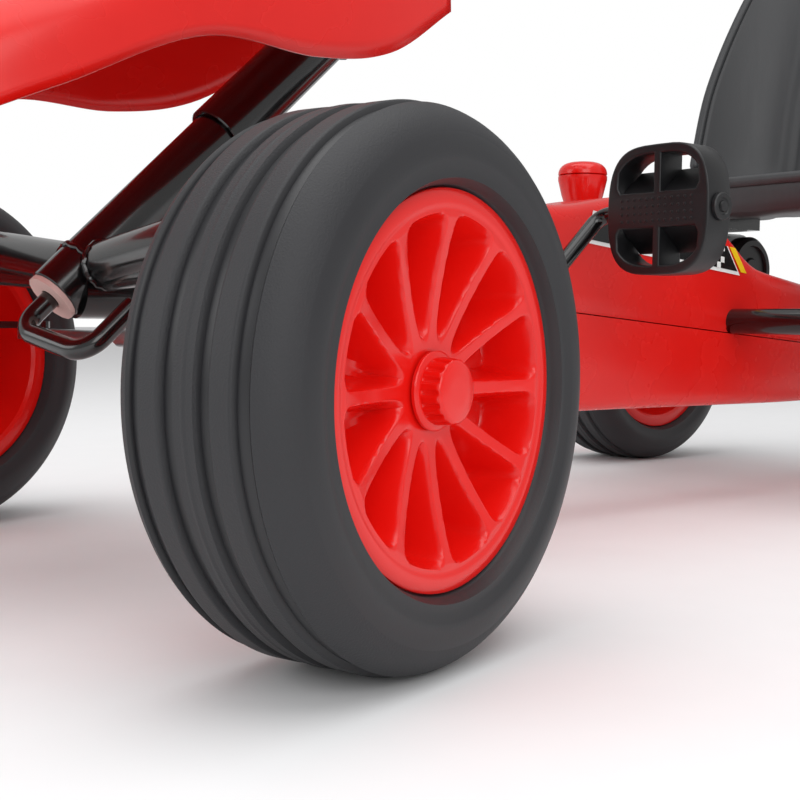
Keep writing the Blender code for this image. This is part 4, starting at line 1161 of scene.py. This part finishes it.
@dataclass
class Seat:
    """The bucket seat's moulded shell, with its bead and grooves."""

    front: float = 0.650
    wall: float = 0.0076
    line: tuple[Point, ...] = (
        (0.0, 0.288), (0.020, 0.288), (0.090, 0.272), (0.165, 0.272), (0.200, 0.285), (0.218, 0.320), (0.230, 0.400),
        (0.246, 0.490), (0.262, 0.560), (0.272, 0.600),
    )
    half_widths: tuple[float, ...] = (0.150, 0.158, 0.165, 0.168, 0.170, 0.172, 0.168, 0.152, 0.128, 0.095)
    wings: tuple[float, ...] = (0.008, 0.018, 0.038, 0.052, 0.062, 0.068, 0.062, 0.045, 0.028, 0.012)
    groove_at: float = 0.52
    groove_depth: float = 0.0022
    groove_start: float = 0.12
    wing_start: float = 0.62
    bead_radius: float = 0.0052
    rows: int = 90
    columns: int = 81
    apron_half: float = 0.148
    apron_wall: float = 0.003
    apron_line: tuple[Point, ...] = (
        (0.030, 0.2905), (0.010, 0.2930), (0.002, 0.2915), (-0.001, 0.2860), (0.000, 0.2700), (0.004, 0.2590),
        (0.016, 0.2570), (0.060, 0.2585), (0.068, 0.2650),
    )

    def surface(self) -> list[list[Vector]]:
        """Points of the shell's middle surface, from the front edge to the top of the back."""
        points = [(*place, half, wing) for place, half, wing in zip(self.line, self.half_widths, self.wings)]
        course = smooth_line(points, self.rows)
        rows = []
        for index, (station, height, half, wing) in enumerate(course):
            before, after = course[max(index - 1, 0)], course[min(index + 1, self.rows - 1)]
            along = Vector((after[0] - before[0], after[1] - before[1])).normalized()
            row = []
            for share in np.linspace(-1, 1, self.columns):
                rise = max(0.0, (abs(share) - self.wing_start) / (1 - self.wing_start)) ** 1.6
                lift = wing * rise - self.dip(abs(share), index / self.rows)
                row.append(at(share * half, self.front + station - along.y * lift, height + along.x * lift))
            rows.append(row)
        return rows

    def dip(self, share: float, along: float) -> float:
        """How deep the moulded grooves are at a place of the shell.

        Args:
            share: distance from the middle, as a share of the half width.
            along: distance from the front, as a share of the length.

        Returns:
            The depth.
        """
        if along < self.groove_start:
            return 0.0
        line = self.groove_depth * max(0.0, 1 - abs(share - self.groove_at) / 0.022)
        inner = self.groove_depth * 0.7 * max(0.0, 1 - abs(share - self.groove_at * 0.55) / 0.020)
        return line + inner

    def build(self) -> None:
        """Builds the shell, its rolled edge and its apron."""
        bm, bead = bmesh.new(), bmesh.new()
        middle = self.surface()
        bridge(bm, [vertices(bm, row) for row in middle], around=False)
        shell = to_object(bm, "seat_shell", [SEAT_POLYETHYLENE], 60)
        thicken(shell, self.wall)
        settle(shell, Body.SEAT, Slot.BLACK, "seat")
        self.apron()
        left, right = [row[0] for row in middle], [row[-1] for row in middle[::-1]]
        edge = left + middle[-1][1:-1] + right + middle[0][1:-1][::-1]
        tube(bead, edge, self.bead_radius, 12, closed=True)
        add_piece(bead, "seat_edge", SEAT_POLYETHYLENE, Body.SEAT, Slot.BLACK, angle=60.0)

    def apron(self) -> None:
        """Builds the deep front lip and the underside behind it."""
        bm = bmesh.new()
        rows = []
        for back, height in self.apron_line:
            curls = [(share, 0.012 * abs(share) ** 4) for share in np.linspace(-1, 1, 41)]
            rows.append(vertices(bm, (
                at(share * self.apron_half, self.front + back + curl, height + curl * 0.4) for share, curl in curls
            )))
        bridge(bm, rows, around=False)
        apron = to_object(bm, "seat_apron", [SEAT_POLYETHYLENE], 60)
        thicken(apron, self.apron_wall, -1.0)
        smooth = apron.modifiers.new("rounding", "SUBSURF")
        smooth.levels = smooth.render_levels = 1
        settle(apron, Body.SEAT, Slot.BLACK)


@dataclass
class Fairing:
    """The red front fairing."""

    wall: float = 0.0028
    sections: tuple[tuple[float, float, float, float], ...] = (
        (-0.200, 0.262, 0.240, 0.080), (-0.140, 0.300, 0.244, 0.112), (-0.075, 0.336, 0.270, 0.126),
        (0.002, 0.372, 0.304, 0.130), (0.077, 0.402, 0.304, 0.126), (0.137, 0.424, 0.316, 0.116),
        (0.197, 0.436, 0.352, 0.100),
    )
    half_section: tuple[Point, ...] = ((0.0, 0.0), (0.40, 0.02), (0.80, 0.12), (0.97, 0.45), (1.0, 1.0))

    def build(self) -> None:
        """Builds the shell, with its closed nose."""
        half = smooth_line(self.half_section, 24)
        profile = [(-a, b) for a, b in half[:0:-1]] + [(a, b) for a, b in half]
        bm = bmesh.new()
        rows = []
        for station, crown, low, wide in smooth_line(self.sections, 60):
            rows.append(vertices(bm, (at(a * wide, station, crown - (crown - low) * b) for a, b in profile)))
        bridge(bm, rows, around=False)
        bm.faces.new(rows[0])
        shell = to_object(bm, "nose_fairing", [RED_POLYETHYLENE], 40)
        thicken(shell, self.wall)
        settle(shell, Body.FRAME, Slot.RED, "front_fairing")


@dataclass
class Knobs:
    """The red lever knob and the black seat clamp."""

    station: float = 0.490
    lever_x: float = -0.053
    radius: float = 0.0213
    bottom: float = 0.250
    parting: float = 0.285
    top: float = 0.2968

    def build(self) -> None:
        """Builds both knobs."""
        up = facing(at(self.lever_x, self.station, 0), Vector((0, 0, 1)))
        grip, cap, clamp = bmesh.new(), bmesh.new(), bmesh.new()
        low, seam, radius = self.bottom, self.parting, self.radius
        lathe(grip, [(low, 0.0110), (low + 0.001, 0.0132), (low + 0.008, 0.0150), (low + 0.018, 0.0182),
                     (seam - 0.004, radius), (seam - 0.0008, radius), (seam - 0.0005, radius - 0.001)], up, 56, False)
        add_piece(grip, "knob_grip", RED_POLYPROPYLENE, Body.LEVER, Slot.RED, "lever_knob")
        dome = [(seam, radius - 0.001), (seam + 0.0006, radius)]
        for turn in (pi / 2 * step / 9 for step in range(1, 9)):
            dome.append((seam + 0.001 + (self.top - seam - 0.001) * sin(turn), radius * cos(turn) ** 0.55))
        lathe(cap, dome, up, 56, False)
        add_piece(cap, "knob_dome", RED_POLYPROPYLENE, Body.LEVER, Slot.RED, "lever_knob_cap", angle=50.0)
        lowest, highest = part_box("seat_clamp_knob")
        centre = Vector((lowest.x, (lowest.y + highest.y) / 2, (lowest.z + highest.z) / 2))
        wide, radius = highest.x - lowest.x, (highest.z - lowest.z) / 2
        profile = [(0.0, 0.008), (wide - 0.018, 0.008), (wide - 0.018, radius - 0.003), (wide - 0.015, radius),
                   (wide - 0.004, radius), (wide, radius - 0.004), (wide, radius - 0.009),
                   (wide - 0.003, radius - 0.010), (wide - 0.003, 0.012), (wide - 0.001, 0.010),
                   (wide - 0.001, 0.004)]
        lathe(clamp, profile, facing(centre, Vector((1, 0, 0))), 56, False)
        add_piece(clamp, "clamp_knob", BLACK_POLYPROPYLENE, Body.CLAMP, Slot.BLACK, "seat_clamp_knob")


# ---------------------------------------------------------------- carried-over solids


@dataclass
class CarriedOver:
    """The working solids whose shape stays, dressed in their finish."""

    finishes: dict[str, Finish] = field(default_factory=lambda: {
        Slot.PAINT.value: POWDER_COAT,
        Slot.STEEL.value: ZINC_PLATE,
        Slot.NYLON.value: NATURAL_NYLON,
        Slot.BLACK.value: BLACK_POLYPROPYLENE,
        Slot.RED.value: RED_POLYPROPYLENE,
        Slot.FOAM.value: EVA_SIDE,
    })

    def build(self) -> None:
        """Dresses every working solid."""
        for part in frame["record"]["subparts"]:
            node = frame["nodes"][part["node"]]
            node.data.materials.clear()
            node.data.materials.append(self.finishes[part["material_slot"]].build())
            node.data.polygons.foreach_set("use_smooth", [True] * len(node.data.polygons))
            weld = node.modifiers.new("weld", "WELD")
            weld.merge_threshold = 1e-5
            split = node.modifiers.new("edges", "EDGE_SPLIT")
            split.split_angle = radians(38)


# ---------------------------------------------------------------- studio


@dataclass
class Studio:
    """Pale floor, soft lamps and the camera."""

    eye: Vector = field(default_factory=lambda: at(0.7041, -0.3364, 0.1592))
    yaw: float = radians(140.61)
    pitch: float = radians(-3.74)
    roll: float = radians(0.52)
    lens: float = 56.44
    floor_size: float = 30.0

    def camera(self) -> None:
        """Places the camera."""
        level = cos(self.pitch)
        ahead = Vector((level * cos(self.yaw), level * sin(self.yaw), sin(self.pitch)))
        right = ahead.cross(Vector((0, 0, 1))).normalized()
        up = right.cross(ahead)
        tilted_right = right * cos(self.roll) + up * sin(self.roll)
        tilted_up = up * cos(self.roll) - right * sin(self.roll)
        turn = Matrix((tilted_right, tilted_up, -ahead)).transposed().to_4x4()
        data = bpy.data.cameras.new("camera")
        data.lens, data.sensor_width, data.clip_start = self.lens, 36.0, 0.01
        made = bpy.data.objects.new("camera", data)
        made.matrix_world = Matrix.Translation(self.eye) @ turn
        bpy.context.scene.collection.objects.link(made)
        bpy.context.scene.camera = made

    def lamp(self, name: str, place: Vector, aim: Vector, size: Point, power: float) -> None:
        """Adds a soft rectangular lamp.

        Args:
            name: its name.
            place: where it stands.
            aim: what it points at.
            size: its width and height.
            power: its power in watts.
        """
        data = bpy.data.lights.new(name, "AREA")
        data.shape, data.size, data.size_y, data.energy = "RECTANGLE", size[0], size[1], power
        made = bpy.data.objects.new(name, data)
        turn = (aim - place).to_track_quat("-Z", "Y").to_matrix().to_4x4()
        made.matrix_world = Matrix.Translation(place) @ turn
        bpy.context.scene.collection.objects.link(made)

    def backdrop(self) -> None:
        """Builds the floor and the world."""
        half = self.floor_size / 2
        bm = bmesh.new()
        corners = ((-half, -half), (half, -half), (half, half), (-half, half))
        bm.faces.new(vertices(bm, (Vector((x, y, 0)) for x, y in corners)))
        pale = Finish(
            "matt_pale_floor", "F7F7F8", "F4F4F5", 0.75, 0.02, grain_mm=5.0, grain_depth_mm=0.0, specular=0.15
        )
        to_object(bm, "floor", [pale])
        world = bpy.data.worlds.new("studio")
        world.use_nodes = True
        tree = world.node_tree
        tree.nodes.clear()
        path = add_node(tree, "ShaderNodeLightPath")
        rays = {0: path.outputs["Is Camera Ray"], 1: path.outputs["Is Transmission Ray"]}
        shown = add_node(tree, "ShaderNodeMath", {"operation": "MAXIMUM"}, rays)
        soft = add_node(tree, "ShaderNodeBackground", {"Color": linear("FFFFFF"), "Strength": 0.55})
        white = add_node(tree, "ShaderNodeBackground", {"Color": linear("FFFFFF"), "Strength": 1.0})
        sides = {0: shown.outputs[0], 1: soft.outputs[0], 2: white.outputs[0]}
        mix = add_node(tree, "ShaderNodeMixShader", None, sides)
        add_node(tree, "ShaderNodeOutputWorld", None, {"Surface": mix.outputs[0]})
        bpy.context.scene.world = world

    def build(self) -> None:
        """Builds the studio."""
        bpy.context.scene.view_settings.view_transform = "Standard"
        self.camera()
        self.backdrop()
        middle = Vector((0.0, 0.0, 0.2))
        self.lamp("overhead", Vector((0.3, -0.3, 2.4)), middle, (2.6, 2.6), 38.0)
        self.lamp("left_front", Vector((2.2, -1.2, 1.2)), middle, (1.6, 1.4), 16.0)
        self.lamp("nose", Vector((-0.9, -2.3, 1.1)), middle, (1.6, 1.2), 10.0)


def main() -> None:
    """Builds the kart's looks round the working model."""
    logging.basicConfig(level=logging.INFO, format="%(message)s")
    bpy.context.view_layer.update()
    Studio().build()
    CarriedOver().build()
    ahead = Vector(joint("front_wheel_left_spin")["axis"]).normalized()
    side = Vector((abs(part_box("tyre_rear_left")[0].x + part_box("tyre_rear_left")[1].x) / 2, 0, 0))
    for wheel in (
        Wheel("front_left", Body.FRONT_LEFT, FRONT_LEFT_HUB, ahead),
        Wheel("front_right", Body.FRONT_RIGHT, FRONT_RIGHT_HUB, -ahead),
        Wheel("rear_left", Body.REAR_AXLE, REAR_HUB + side, Vector((1, 0, 0))),
        Wheel("rear_right", Body.REAR_AXLE, REAR_HUB - side, Vector((-1, 0, 0))),
    ):
        wheel.build()
    for assembly in (FrontFrame(), RearFrame(), ChainCase(), Drive(), Steering(), Seat(), Fairing(), Knobs()):
        assembly.build()


if __name__ == "__main__":
    main()
